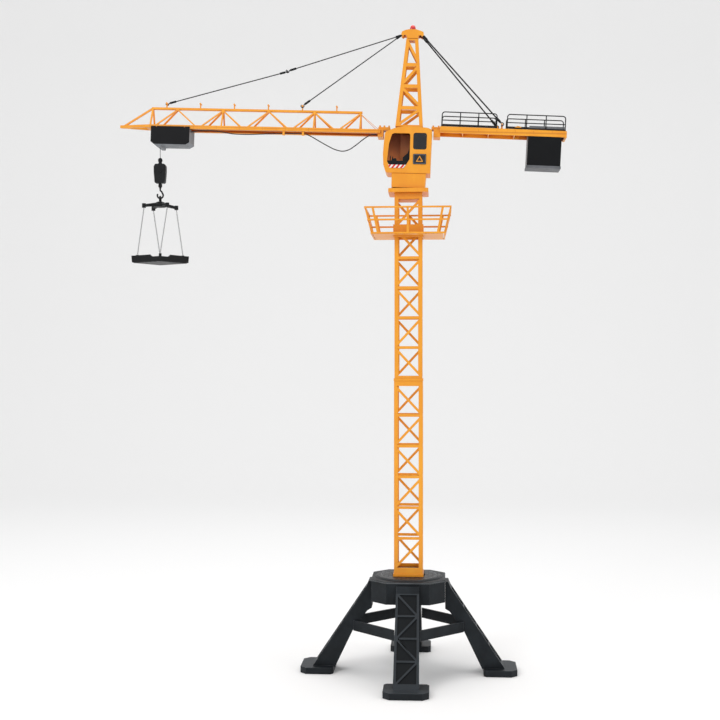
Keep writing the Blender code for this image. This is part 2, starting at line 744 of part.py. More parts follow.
def make_truss():
    """The jib's A-shaped sides: a hollow prism from the floor to the top chord, with its bays cut through."""
    low, high = JIB_FLOOR_Z - 1.0, JIB_TOP_Z
    end = JIB_END_NODE - 1.6
    root = JIB_NODES[0] + JIB_FOOT_REACH
    outer = [(-19.4, low), (19.4, low), (2.1, high - 0.6), (-2.1, high - 0.6)]
    inner = [(-17.0, low - 1), (17.0, low - 1), (0.4, high - 4.8), (-0.4, high - 4.8)]
    truss = plate("truss", [outer], end, root + 20, FRONT)
    slope = (root - JIB_NODES[0]) / (JIB_TOP_Z - 4.0 - JIB_FLOOR_Z)
    tip = root + 1.3 + slope * (JIB_FLOOR_Z - low)
    cut_off = [(tip, low - 2), (root + 40, low - 2), (root + 40, high + 4), (tip - slope * (high + 6 - low), high + 4)]
    cells = truss_cells()
    hollow = plate("hollow", [inner], end - 5, root + 40, FRONT)
    return cut(truss, hollow, prisms("root", [cut_off], -40, 40), prisms("bays", cells, -40, 40))


def channel_section():
    """The jib floor's section: a plate with webs at its edges and small inner lips that carry the trolley."""
    h = JIB_HALF
    top = JIB_FLOOR_Z
    return [
        (-h, top), (-h, top - 7), (-h + 6, top - 7), (-h + 6, top - 5.8), (-h + 2.2, top - 5.8), (-h + 2.2, top - 1.8),
        (h - 2.2, top - 1.8), (h - 2.2, top - 5.8), (h - 6, top - 5.8), (h - 6, top - 7), (h, top - 7), (h, top),
    ]


def make_jib(frame):
    floor = plate("jib", [channel_section()], JIB_END_NODE - 1, JIB_ROOT, FRONT)
    nose_plan = [(JIB_END_NODE + 1, -JIB_HALF), (JIB_END_NODE + 1, JIB_HALF), (JIB_TIP, 2.0), (JIB_TIP, -2.0)]
    nose_hole = [(JIB_END_NODE - 9, -11.5), (JIB_TIP + 20, -1.2), (JIB_TIP + 20, 1.2), (JIB_END_NODE - 9, 11.5)]
    nose = plate("nose", [nose_plan[::-1], nose_hole], JIB_FLOOR_Z - 5.0, JIB_FLOOR_Z, PLAN)
    chord = box("chord", (JIB_END_NODE - 2, JIB_NODES[0] + 2.5), (-2.5, 2.5), (JIB_TOP_Z - 4.4, JIB_TOP_Z))
    brace = bar("brace", (JIB_END_NODE - 0.5, 0, JIB_TOP_Z - 2.0), (JIB_TIP + 7, 0, JIB_FLOOR_Z - 1.5), 3.2, 3.6)
    pieces = [nose, make_truss(), chord, brace]
    for x in PEGS:
        pieces.append(box("stem", (x - 1.1, x + 1.1), (-1.1, 1.1), (JIB_TOP_Z - 1, PEG_PIN_Z)))
        pieces.append(rod("pin", (x, -4.6, PEG_PIN_Z), (x, 4.6, PEG_PIN_Z), 1.7, 10))
    block = box("block", (-60.0, -49.6), (-16, 16), (982.8, JIB_FLOOR_Z + 0.5))
    tongue = box("tongue", (-59.6, -37.6), (-9, 9), (JIB_FLOOR_Z - 0.2, 1002.0))
    fingers = [box("finger", (x, x + 3), (-8.6, 8.6), (1000.8, 1005.0)) for x in (-58.0, -50.0, -41.4)]
    clips = []
    for x in (-234.0, -198.0):
        clips.append(box("clip", (x - 2, x + 2), (-18.2, -16.9), (982.8, 989.8)))
        clips.append(box("clip", (x - 2.2, x + 2.2), (-18.4, -12.6), (981.6, 983.0)))
    jib = join(floor, *pieces, block, tongue, *fingers, *clips)
    hang(jib, frame, ORANGE)


# ---------------------------------------------------------------- counter-jib


def make_counter_jib(frame):
    x0, x1 = DECK_X
    h = DECK_HALF
    top = DECK_TOP
    section = [
        (-h, top), (-h, top - 11.5), (-h + 2.2, top - 11.5), (-h + 2.2, top - 4.6), (h - 2.2, top - 4.6),
        (h - 2.2, top - 11.5), (h, top - 11.5), (h, top), (h - 2.0, top), (h - 2.0, top - 2.2), (-h + 2.0, top - 2.2),
        (-h + 2.0, top),
    ]
    deck = plate("counter_jib", [section], x0, x1, FRONT)
    pieces = []
    for x in (95.0, 142.2, 189.4):
        pieces.append(box("rib", (x, x + 2), (-h + 1, h - 1), (top - 10.5, top - 4)))
    pieces.append(box("end", (x1 - 2.6, x1 + 1.4), (-h - 0.4, h + 0.4), (top - 12.4, top - 0.3)))
    pieces.append(box("block", (42.6, x0 + 1), (-15, 15), (984.3, 999.4)))
    pieces.append(box("tongue", (38.4, x0 + 1), (-9, 9), (999.0, 1004.2)))
    for x in (40.0, 50.0):
        pieces.append(box("finger", (x, x + 3), (-8.6, 8.6), (1003.8, 1006.8)))
    for side in (-1, 1):
        y = sorted((side * (h - 5.5), side * (h - 3.0)))
        pieces.append(rod("boss", (196.2, y[0], top - 2.0), (196.2, y[1], top - 2.0), 8.4, 20))
        at = COUNTER_HOOKS[0 if side < 0 else 1] - DROOP_AT[0]
        drop = math.radians(DROOP_DEG)
        rise = COUNTER_HOOK_Z - DROOP_AT[1]
        x = DROOP_AT[0] + at * math.cos(drop) - rise * math.sin(drop)
        z = DROOP_AT[1] + rise * math.cos(drop) + at * math.sin(drop)
        pieces.append(box("eye", (x - 1.6, x + 1.6), sorted((side * 11.4, side * 12.9)), (top - 3, z + 1.8)))
        pieces.append(rod("pin", (x, side * 12.0, z), (x, side * 17.2, z), 1.3, 10))
    deck = join(deck, *pieces)
    well = box("well", (213.0, 277.6), (-18.3, 18.3), (top - 20, top + 10))
    hang(cut(deck, well), frame, ORANGE)


def railing_piece(name, x, side, frame):
    """A wire railing with rounded upper corners: outline wire, a lower wire and two posts between."""
    y = side * (DECK_HALF - 1.1)
    foot = DECK_TOP + GAP
    top = DECK_TOP + 26.6
    low = DECK_TOP + 11.6
    r = 5.0
    loop = [(x[0], y, foot)]
    for i in range(5):
        a = math.radians(180 - 22.5 * i)
        loop.append((x[0] + r + r * math.cos(a), y, top - r + r * math.sin(a)))
    for i in range(5):
        a = math.radians(90 - 22.5 * i)
        loop.append((x[1] - r + r * math.cos(a), y, top - r + r * math.sin(a)))
    loop.append((x[1], y, foot))
    frame_wire = tube(name, loop, 1.0)
    pieces = [bar("wire", (x[0], y, low), (x[1], y, low), 1.6, 1.6)]
    pieces.append(bar("sill", (x[0] - 1.3, y, foot + 1.3), (x[1] + 1.3, y, foot + 1.3), 2.1, 2.5))
    for share in (1 / 3, 2 / 3):
        at = x[0] + (x[1] - x[0]) * share
        pieces.append(bar("post", (at, y, foot + 0.5), (at, y, top + 0.4), 1.8, 1.7))
    hang(join(frame_wire, *pieces), frame, BLACK)


def make_railings(frame):
    for side, word in ((-1, "near"), (1, "far")):
        railing_piece("railing_inner_" + word, (57.0, 157.0), side, frame)
        railing_piece("railing_outer_" + word, (176.0, 281.0), side, frame)


def make_counterweight(frame):
    """The battery box hung through the deck, closed below by its cover, with two cells inside."""
    x0, x1 = 214.9, 275.7
    h = 17.9
    w = 20.6
    case = box("counterweight_case", (x0, x1), (-w, w), (939.5, 991.7))
    neck = box("neck", (x0 + 0.1, x1 - 0.1), (-h, h), (985.0, DECK_TOP - 1.0))
    top = box("top", (x0 + 1.6, x1 + 4.2), (-h - 0.7, h + 0.7), (DECK_TOP - 1.9, DECK_TOP + 7.6))
    case = join(case, neck, top)
    room = box("room", (x0 + 2, x1 - 2), (-h + 2, h - 2), (930.0, DECK_TOP + 5.6))
    low_room = box("low_room", (x0 + 2.1, x1 - 2.1), (-w + 2, w - 2), (930.0, 989.7))
    hang(cut(case, room, low_room), frame, BLACK)
    cover = box("battery_cover", (x0 - 0.8, x1 + 0.8), (-w - 0.8, w + 0.8), (934.5, 939.2))
    plug = box("plug", (x0 + 2.4, x1 - 2.4), (-w + 2.4, w - 2.4), (938.5, 941.5))
    hang(join(cover, plug), frame, GREY)
    for name, x in (("battery_cell_1", 231.6), ("battery_cell_2", 259.0)):
        cell = rod(name, (x, 0, 944.8), (x, 0, 993.4), 13.0, 24)
        tip = rod("tip", (x, 0, 992.8), (x, 0, 995.2), 4.5, 16)
        hang(join(cell, tip), frame, BRASS)


# ---------------------------------------------------------------- stays and cable


def ring_hook(centre, way, facing, radius):
    """An open ring of wire round a pin, its gap away from the stay that it ends."""
    turn = Vector((way.z, 0, -way.x)) * facing
    points = []
    for i in range(9):
        angle = math.radians(-180 + 32 * i)
        points.append(tuple(centre - way * (facing * radius * -math.cos(angle)) + turn * (radius * math.sin(angle))))
    return tube("hook", points, 0.83)


def stay(name, start, end, frame, pinned=False, radius=0.95):
    """A stay between two pins: a straight wire with a moulded grip near each end and a ring round each pin."""
    a = Vector(start)
    b = Vector(end)
    way = (b - a).normalized()
    first = a if pinned else a + way * 2.4
    last = b - way * 2.6
    wire = rod(name, first, last, radius, 10)
    wide = radius * 2 + 1.5
    parts = [bar("grip", a + way * 5, a + way * 15, wide, 2.8), bar("grip", b - way * 17, b - way * 5, wide, 2.8)]
    parts.append(ring_hook(b, way, 1, 3.0))
    if pinned:
        parts.append(rod("link", (a.x, a.y - 5.6, a.z), (a.x, a.y + 1.2, a.z), 1.3, 10))
    else:
        parts.append(ring_hook(a, way, -1, 2.7))
    hang(join(wire, *parts), frame, BLACK)


def make_stays(frame):
    left = HEAD_PINS["jib"]
    right = HEAD_PINS["counter"]
    joint = (-233.0, 1103.8)
    stay("jib_stay_upper", (left[0], 0, left[1]), (joint[0], 0, joint[1]), frame)
    stay("jib_stay_lower", (joint[0], 3.3, joint[1]), (PEGS[5], 3.3, PEG_PIN_Z), frame, pinned=True)
    stay("jib_stay_inner", (left[0], -6.0, left[1]), (PEGS[1], -3.2, PEG_PIN_Z), frame)
    stay("counter_stay_near", (right[0], -6.0, right[1]), (COUNTER_HOOKS[0], -15.4, COUNTER_HOOK_Z), frame, radius=1.3)
    stay("counter_stay_far", (right[0], 6.0, right[1]), (COUNTER_HOOKS[1], 15.4, COUNTER_HOOK_Z), frame, radius=1.3)


CABLE_Y = -15.4
CABLE_FREE = [(-408.4, 983.8), (-398.0, 985.4), (-384.0, 986.8), (-369.7, 987.1), (-356.0, 986.0), (-342.0, 983.8),
              (-328.0, 982.0), (-312.0, 981.6), (-296.0, 981.8), (-278.0, 982.7), (-258.0, 983.7), (-240.0, 984.4)]
CABLE_HELD = [(-234.0, 984.5), (-216.0, 984.8), (-198.0, 985.0), (-192.0, 984.2), (-182.0, 980.0), (-168.0, 972.3), (-152.0, 963.8),
              (-138.0, 957.4), (-124.2, 954.6), (-112.0, 957.6), (-100.0, 965.8), (-88.0, 975.8), (-78.0, 983.0),
              (-70.0, 986.2), (-64.0, 986.4), (-60.6, 985.4)]


def make_cable(frame):
    points = [(x, CABLE_Y, z) for x, z in CABLE_FREE + CABLE_HELD]
    hang(tube("trolley_cable", points, 0.95), frame, BLACK)


# ---------------------------------------------------------------- trolley


TROLLEY_X = (-482.0, -409.2)
TROLLEY_HALF = 22.3
TROLLEY_OUTLINE = [
    (-482.0, 963.8), (-470.0, 954.4), (-463.6, 954.4), (-462.4, 958.6), (-417.2, 958.6), (-409.2, 963.4),
    (-409.2, 988.2), (-482.0, 988.2),
]
DRUM = (-464.2, 972.8)
AXLES = {"wheelset_outer": -472.0, "wheelset_inner": -419.0}
AXLE_Z = 992.0


def local_point(x, z):
    """A point of the level world's XZ plane, in the leaning turret's coordinates."""
    lean = math.radians(LEAN_DEG)
    dz = z - LEAN_Z
    return x * math.cos(lean) - dz * math.sin(lean), x * math.sin(lean) + dz * math.cos(lean) + LEAN_Z


def make_trolley_half(name, side, frame, origin):
    def span(a, b):
        return tuple(sorted((side * a, side * b)))

    half = plate(name, [TROLLEY_OUTLINE], *span(GAP / 2, TROLLEY_HALF))
    inner = inset(TROLLEY_OUTLINE, [1.8] * len(TROLLEY_OUTLINE))
    inner = [p for p in inner if p[1] > 958.8 or p[0] < -475]
    room = box("room", (-478.8, -411.2), span(-1, TROLLEY_HALF - 1.8), (964.4, 986.4))
    room_low = box("room_low", (-466.0, -417.0), span(-1, TROLLEY_HALF - 1.8), (960.6, 965.8))
    exit_hole = rod("exit", (*local_axis(935.8),), (*local_axis(980.8),), 2.2, 12)
    half = cut(half, room, room_low, exit_hole)
    cheek = box("cheek", TROLLEY_X, span(TROLLEY_HALF - 1.8, TROLLEY_HALF), (985.8, 992.4))
    keel = box("keel", (-477.0, -414.0), span(GAP / 2, 8.0), (986.8, 993.4))
    half = join(half, cheek, keel)
    holes = [rod("hole", (x, -30, AXLE_Z), (x, 30, AXLE_Z), 1.25, 10) for x in AXLES.values()]
    hang(cut(half, *holes), frame, BLACK, origin)


def local_axis(z):
    """A point on the hoist line, which hangs plumb, in the leaning turret's coordinates."""
    x, height = local_point(LINE_X, z)
    return x, 0.0, height


def make_trolley(frame, origin, axle_frames, drum_frame):
    make_trolley_half("trolley_near_half", -1, frame, origin)
    make_trolley_half("trolley_far_half", 1, frame, origin)
    motor = rod("winch_motor", (-449.0, 0, 973.2), (-420.0, 0, 973.2), 8.6, 20)
    nose = rod("nose", (-453.0, 0, 973.2), (-448.0, 0, 973.2), 3.0, 12)
    hang(join(motor, nose), frame, STEEL, origin)
    for name, x in AXLES.items():
        axle = rod(name, (0, -16.6, 0), (0, 16.6, 0), 0.9, 8)
        wheels = [rod("wheel", (0, s * 13.0, 0), (0, s * 16.4, 0), 1.6, 14) for s in (-1, 1)]
        hang(join(axle, *wheels), axle_frames[name], GREY)
    drum = rod("winch_drum", (0, -9.0, 0), (0, 9.0, 0), 3.4, 16)
    flanges = [rod("flange", (0, s * 8.0, 0), (0, s * 9.4, 0), 4.8, 16) for s in (-1, 1)]
    axle = rod("axle", (0, -18.0, 0), (0, 18.0, 0), 1.2, 10)
    hang(join(drum, *flanges, axle), drum_frame, WHITE)


# ---------------------------------------------------------------- hook and load


def make_hook_block(frame):
    z0, z1 = BLOCK_Z
    outline = [
        (-8.6, z0 + 1), (8.6, z0 + 1), (9.8, z0 + 3.5), (11.3, z0 + 22), (11.3, z0 + 33), (8.8, z0 + 37.4),
        (-8.8, z0 + 37.4), (-11.3, z0 + 33), (-11.3, z0 + 22), (-9.8, z0 + 3.5),
    ]
    block = plate("hook_block", [outline], -6.5, 6.5)
    bevel = block.modifiers.new("edge", "BEVEL")
    bevel.width = 0.0012
    bevel.segments = 1
    bevel.limit_method = "ANGLE"
    bevel.angle_limit = math.radians(60)
    block = taken(block, "hook_block")
    crown = [(0, z1), (1.7, z1), (3.4, z0 + 47.4), (4.3, z0 + 45), (4.1, z0 + 42.6), (2.9, z0 + 40.4)]
    crown += [(3.6, z0 + 39.4), (4.4, z0 + 36), (0, z0 + 36), (0, z1)]
    knob = revolved("knob", crown, (0, 0, 0), 18)
    pin = rod("pin", (0, -8.2, z0 + 24), (0, 8.2, z0 + 24), 3.4, 16)
    low_pin = rod("low_pin", (0, -7.6, z0 + 11), (0, 7.6, z0 + 11), 2.2, 14)
    seat = rod("seat", (0, 0, z0 - 1), (0, 0, z0 + 8), 2.6, 16)
    hang(cut(join(block, knob, pin, low_pin), seat), frame, BLACK)


def make_hook(frame):
    """A hook with a swivel shank, its bowl along the jib and its point outwards."""
    r = 5.6
    centre = HOOK_Z + r
    points = [(0, 0, 897.8), (0, 0, centre + 9.0), (2.6, 0, centre + 7.0)]
    for i in range(11):
        angle = math.radians(40 - 25 * i)
        points.append((r * math.cos(angle), 0, centre + r * math.sin(angle)))
    hook = tube("hook", points, 1.6)
    shank = rod("shank", (0, 0, 895.8), (0, 0, BLOCK_Z[0] + 7.4), 2.2, 14)
    collar = rod("collar", (0, 0, BLOCK_Z[0] - 6.0), (0, 0, BLOCK_Z[0] - GAP), 3.6, 14)
    hang(join(hook, shank, collar), frame, BLACK)


def make_load(frame, origin):
    """Spreader, four chains and the square pallet, hung from the hook's bowl."""
    arms = []
    for i in range(4):
        a = math.radians(SPREADER_TURN + 90 * i)
        c, s = math.cos(a), math.sin(a)
        arms.append(rod("arm", (0, 0, 866.4), (31.6 * c, 31.6 * s, 861.6), 3.9, 8, 2.7))
        arms.append(rod("end", (32.6 * c, 32.6 * s, 857.4), (32.6 * c, 32.6 * s, 865.4), 3.7, 12))
    profile = [(4.0, 871.0), (8.0, 869.6), (12.4, 865.4), (10.6, 860.4), (0.0, 860.4), (0.0, 871.0), (4.0, 871.0)]
    hub = revolved("spreader", profile, (0, 0, 0), 20)
    ring = [(0, 5.2 * math.cos(i * math.pi / 8), 874.9 + 5.9 * math.sin(i * math.pi / 8)) for i in range(16)]
    loop = tube("loop", ring, 1.4, cyclic=True)
    hang(join(hub, *arms, loop), frame, BLACK, origin)
    w = 37.0
    z0, z1 = PALLET_Z
    floor = plate("pallet", [rectangle(w - 2, w - 2)], z0, z0 + 2.6, PLAN)
    walls = []
    for i in range(4):
        wall = [(-w, z0 + 1), (w, z0 + 1), (w, z0 + 9.5), (w * 0.42, z0 + 9.5), (w * 0.28, z1 - 1.0), (w * 0.28, z1), (-w - 1.5, z1)]
        if i % 2:
            wall = [(-x, z) for x, z in wall][::-1]
        side = plate("wall", [wall], -w, -w + 2.4)
        side.data.transform(QUARTERS[i])
        walls.append(side)
    ears = [rod("ear", (x * 29.7, y * 29.7, z0 + 1), (x * 29.7, y * 29.7, z1 + 1.5), 2.6, 8) for x in (-1, 1) for y in (-1, 1)]
    pallet = join(floor, *walls, *ears)
    pallet.data.transform(Matrix.Rotation(math.radians(135 + PALLET_TURN), 4, "Z"))
    hang(pallet, frame, BLACK, origin)
    for i, word in enumerate(("right", "back", "left", "front")):
        a = math.radians(SPREADER_TURN + 90 * i)
        b = math.radians(PALLET_TURN + 90 * i)
        top = (32.6 * math.cos(a), 32.6 * math.sin(a), 857.0)
        foot = (42.0 * math.cos(b), 42.0 * math.sin(b), z1 + 1.9)
        hang(rod("chain_" + word, foot, top, 0.8, 6), frame, BLACK, origin)


def main():
    clear_scene()
    mast = empty("mast_axis", (MAST_X, 0, 0))
    make_base(mast)
    turret = empty("turret_lean", (0, 0, LEAN_Z), mast, (0, LEAN_DEG, 0))
    upper = empty("turret_origin", (0, 0, -LEAN_Z), turret)
    make_neck(upper)
    make_cab(upper)
    make_console(upper)
    pinion = empty("pinion_axis", (0, PINION_Y, LEAN_Z), upper)
    make_slew_drive(upper, pinion)
    make_peak(upper)
    make_head(upper)
    make_jib(upper)
    make_stays(upper)
    make_cable(upper)
    droop = empty("counter_root", (DROOP_AT[0], 0, DROOP_AT[1]), upper, (0, DROOP_DEG, 0))
    counter = empty("counter_origin", (-DROOP_AT[0], 0, -DROOP_AT[1]), droop)
    make_counter_jib(counter)
    make_railings(counter)
    make_counterweight(counter)
    origin = (-445.0, 0.0, 972.8)
    trolley = empty("trolley_slide", origin, upper)
    axles = {name: empty(name + "_axis", (x, 0, AXLE_Z), upper) for name, x in AXLES.items()}
    drum = empty("drum_axis", (DRUM[0], 0, DRUM[1]), upper)
    make_trolley(trolley, origin, axles, drum)
    plumb = empty("hoist_axis", (LINE_X, 0, 0), mast)
    hang(rod("hoist_line", (0, 0, BLOCK_Z[1] + GAP), (0, 0, 987.8), 0.5, 8), plumb, BLACK)
    make_hook_block(plumb)
    make_hook(plumb)
    swing = empty("swing_axis", (LINE_X, 0, HOOK_Z), mast)
    make_load(swing, (0.0, 0.0, HOOK_Z))


CRANE = new_collection("toy_tower_crane")
main()
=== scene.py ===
"""Toy tower crane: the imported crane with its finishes, and lines, chains, sign, rim and screws as added pieces."""

import math

import bmesh
import bpy
import numpy as np
from mathutils import Euler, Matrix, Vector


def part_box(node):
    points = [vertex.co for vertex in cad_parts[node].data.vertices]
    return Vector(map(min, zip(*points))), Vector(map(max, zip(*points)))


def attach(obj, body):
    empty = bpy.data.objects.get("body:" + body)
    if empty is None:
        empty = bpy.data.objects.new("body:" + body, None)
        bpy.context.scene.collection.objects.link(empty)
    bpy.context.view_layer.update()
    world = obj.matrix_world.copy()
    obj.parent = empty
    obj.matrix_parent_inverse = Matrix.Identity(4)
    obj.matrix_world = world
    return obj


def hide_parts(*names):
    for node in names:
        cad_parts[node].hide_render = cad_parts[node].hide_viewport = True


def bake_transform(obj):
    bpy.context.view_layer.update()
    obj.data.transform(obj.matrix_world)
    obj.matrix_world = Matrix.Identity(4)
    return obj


bl_info = {
    "name": "Toy Tower Crane",
    "version": (1, 0, 0),
    "blender": (4, 5, 0),
    "location": "View3D > Sidebar > Crane",
    "description": "Finishes and details for the toy tower crane",
    "category": "Object",
}

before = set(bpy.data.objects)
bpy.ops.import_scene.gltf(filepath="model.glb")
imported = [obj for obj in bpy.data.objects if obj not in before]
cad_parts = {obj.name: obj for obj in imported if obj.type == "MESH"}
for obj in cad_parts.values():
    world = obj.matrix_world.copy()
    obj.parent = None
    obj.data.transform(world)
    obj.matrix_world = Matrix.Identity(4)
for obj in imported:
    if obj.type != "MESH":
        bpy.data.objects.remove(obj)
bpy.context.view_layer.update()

# Lengths are in millimetres unless they say metres.
MM = 0.001
MAST_X = 127.0
LEAN = math.radians(2.0)  # the upper works lean about this height on the mast's axis
LEAN_Z = 893.3
LINE_X = MAST_X - 466.0  # the hoist line's place at rest

LEG_FACE = (0.8297, 0.5582, 0.1521)  # a leg's sloping face, in metres: out * a + up * b = c
LEG_POCKET_HALF = 0.0198
LEG_FACE_Z = (0.0105, 0.1560)
CAB_ROOM_X = (-0.0432, 0.0370)  # the cab's inside, from the mast's axis, in metres
CAB_ROOM_Y = 0.0266
CAB_ROOM_Z = (0.9192, 0.9968)
SHADE_Z = (0.93, 0.99)

SPREADER_TURN = 36.5  # degrees about the hoist line, counter-clockwise from above
PALLET_TURN = 13.2
CHAIN_TOP = (32.6, 857.2)  # distance from the hoist line, and height
CHAIN_FOOT = (42.0, 770.4)
LINK_AROUND, LINK_TUBE = 10, 5
CABLE_Y = -15.4
CABLE_PATH = (
    (-408.4, 983.8), (-398.0, 985.4), (-384.0, 986.8), (-369.7, 987.1), (-356.0, 986.0), (-342.0, 983.8),
    (-328.0, 982.0), (-312.0, 981.6), (-296.0, 981.8), (-278.0, 982.7), (-258.0, 983.7), (-240.0, 984.4),
    (-234.0, 984.5), (-216.0, 984.8), (-198.0, 985.0), (-192.0, 984.2), (-182.0, 980.0), (-168.0, 972.3),
    (-152.0, 963.8), (-138.0, 957.4), (-124.2, 954.6), (-112.0, 957.6), (-100.0, 965.8), (-88.0, 975.8),
    (-78.0, 983.0), (-70.0, 986.2), (-64.0, 986.4), (-60.6, 985.4),
)
SIGN_BACK, SIGN_FRONT = -29.5, -29.9
SIGN_CENTRE = (18.95, 940.0)
HUB_TOP = (39.3, 67.3)  # the half lengths of the hub's flat sides and of its width
TROLLEY_SCREWS = ((-476.0, 966.6), (-476.0, 984.6), (-415.0, 984.6), (-415.0, 967.6))
CAB_SCREWS = ((-38.0, 924.0), (33.0, 924.0), (33.0, 992.0), (-30.0, 990.0))


def leaned(points):
    """Turret coordinates in millimetres, as an array (..., 3), turned by the lean and put in the frame's metres."""
    p = np.asarray(points, float)
    x, y, z = p[..., 0], p[..., 1], p[..., 2] - LEAN_Z
    c, s = math.cos(LEAN), math.sin(LEAN)
    return np.stack([MAST_X + x * c + z * s, y, LEAN_Z - x * s + z * c], axis=-1) * MM


def level(points):
    """Level millimetres as the frame's metres."""
    return np.asarray(points, float) * MM


# ------------------------------------------------------------------ shader maths


class Value:
    """A socket that Python's arithmetic works on: each operation adds its Math node."""

    def __init__(self, tree, socket):
        self.tree = tree
        self.socket = socket

    def _math(self, operation, *others, swap=False):
        node = self.tree.nodes.new("ShaderNodeMath")
        node.operation = operation
        terms = [self, *others]
        if swap:
            terms.reverse()
        for slot, term in zip(node.inputs, terms):
            if isinstance(term, Value):
                self.tree.links.new(term.socket, slot)
            else:
                slot.default_value = term
        return Value(self.tree, node.outputs[0])

    def __add__(self, other):
        return self._math("ADD", other)

    __radd__ = __add__

    def __sub__(self, other):
        return self._math("SUBTRACT", other)

    def __rsub__(self, other):
        return self._math("SUBTRACT", other, swap=True)

    def __mul__(self, other):
        return self._math("MULTIPLY", other)

    __rmul__ = __mul__

    def __truediv__(self, other):
        return self._math("DIVIDE", other)

    def __pow__(self, other):
        return self._math("POWER", other)

    def __gt__(self, other):
        return self._math("GREATER_THAN", other)

    def __lt__(self, other):
        return self._math("LESS_THAN", other)

    def at_most(self, other):
        return self._math("MINIMUM", other)

    def at_least(self, other):
        return self._math("MAXIMUM", other)

    def wave(self):
        return self._math("SINE")

    def size(self):
        return self._math("ABSOLUTE")

    def fraction(self):
        return self._math("FRACT")

    def between(self, low, high, soft):
        """1 from low to high, 0 outside, with soft borders."""
        return self.ramp(low - soft, low + soft) * (1.0 - self.ramp(high - soft, high + soft))

    def ramp(self, low, high):
        """0 below low, 1 above high, smooth between."""
        node = self.tree.nodes.new("ShaderNodeMapRange")
        node.interpolation_type = "SMOOTHSTEP"
        node.inputs["From Min"].default_value = low
        node.inputs["From Max"].default_value = high
        self.tree.links.new(self.socket, node.inputs["Value"])
        return Value(self.tree, node.outputs["Result"])


class Finish:
    """A material with one Principled shader and the few node helpers that the finishes share."""

    def __init__(self, name, **constants):
        self.mat = bpy.data.materials.new(name)
        self.mat.use_nodes = True
        self.tree = self.mat.node_tree
        self.shader = self.tree.nodes["Principled BSDF"]
        for socket, value in constants.items():
            self.shader.inputs[socket.replace("_", " ")].default_value = value
        self.place = self.node("ShaderNodeTexCoord").outputs["Object"]

    @classmethod
    def of(cls, mat):
        """The same helpers on a material that is already made."""
        fin = cls.__new__(cls)
        fin.mat, fin.tree = mat, mat.node_tree
        fin.shader = fin.tree.nodes["Principled BSDF"]
        fin.place = fin.node("ShaderNodeTexCoord").outputs["Object"]
        return fin

    def node(self, kind, settings=None, **inputs):
        """Any other node: its settings first, then the values or links of its sockets."""
        made = self.tree.nodes.new(kind)
        for key, value in (settings or {}).items():
            setattr(made, key, value)
        for key, value in inputs.items():
            socket = made.inputs[key.replace("_", " ")]
            self.feed(socket, value)
        return made

    def feed(self, socket, value):
        if isinstance(value, Value):
            self.tree.links.new(value.socket, socket)
        elif isinstance(value, bpy.types.NodeSocket):
            self.tree.links.new(value, socket)
        else:
            socket.default_value = value

    def noise(self, scale, detail=3.0, roughness=0.55, stretch=(1, 1, 1)):
        """Noise in object space, with scale in cycles per metre."""
        where = self.place
        if stretch != (1, 1, 1):
            where = self.node("ShaderNodeMapping", Vector=where, Scale=stretch).outputs[0]
        made = self.node("ShaderNodeTexNoise", Vector=where, Scale=scale, Detail=detail, Roughness=roughness)
        return Value(self.tree, made.outputs["Fac"])

    def axes(self, turned=False):
        """X, Y and Z in metres; turned gives them along the leaning turret's own directions, X from the mast."""
        where = self.place
        if turned:
            where = self.node(
                "ShaderNodeMapping", {"vector_type": "TEXTURE"}, Vector=where,
                Location=(MAST_X * MM, 0.0, LEAN_Z * MM), Rotation=(0.0, LEAN, 0.0),
            ).outputs[0]
        split = self.node("ShaderNodeSeparateXYZ", Vector=where)
        x, y, z = (Value(self.tree, out) for out in split.outputs)
        return [x, y, z + LEAN_Z * MM] if turned else [x, y, z]

    def mixed(self, mask, low, high):
        made = self.node("ShaderNodeMix", {"data_type": "RGBA"})
        self.feed(made.inputs[0], mask)
        self.feed(made.inputs[6], low)
        self.feed(made.inputs[7], high)
        return made.outputs[2]

    def colour(self, value):
        self.feed(self.shader.inputs["Base Color"], value)

    def over(self, mask, tint):
        """Another colour laid over the present base colour as far as the mask says."""
        self.colour(self.mixed(mask, self.shader.inputs["Base Color"].links[0].from_socket, tint))

    def rough(self, value):
        self.feed(self.shader.inputs["Roughness"], value)

    def surface(self, normal):
        self.feed(self.shader.inputs["Normal"], normal)

    def grained(self, cycles, distance, strength, rounded=True):
        """A fine moulded grain, and softly rounded edges under it unless told otherwise."""
        under = self.soft_edges() if rounded else None
        self.surface(self.bump(self.noise(cycles, 2.0), distance, strength, under))

    def bump(self, height, distance, strength=1.0, under=None):
        made = self.node("ShaderNodeBump", Height=height, Distance=distance, Strength=strength)
        if under is not None:
            self.tree.links.new(under, made.inputs["Normal"])
        return made.outputs["Normal"]

    def edges(self, radius=0.0011):
        """1 along sharp edges, 0 on flats: how far a rounded normal leans away from the true one."""
        bevel = self.node("ShaderNodeBevel", {"samples": 6}, Radius=radius)
        geometry = self.node("ShaderNodeNewGeometry")
        dot = self.node("ShaderNodeVectorMath", {"operation": "DOT_PRODUCT"})
        self.tree.links.new(bevel.outputs[0], dot.inputs[0])
        self.tree.links.new(geometry.outputs["Normal"], dot.inputs[1])
        return (1.0 - Value(self.tree, dot.outputs["Value"])).ramp(0.02, 0.3)

    def hollows(self, reach=0.02):
        """1 deep inside channels and pockets, 0 on open faces, from how much of the near surroundings is blocked."""
        near = self.node("ShaderNodeAmbientOcclusion", {"samples": 8}, Distance=reach)
        return (1.0 - Value(self.tree, near.outputs["AO"])).ramp(0.35, 0.8)

    def soft_edges(self, radius=0.0008):
        return self.node("ShaderNodeBevel", {"samples": 6}, Radius=radius).outputs[0]


def rgb(colour):
    return (*colour[:3], 1.0)


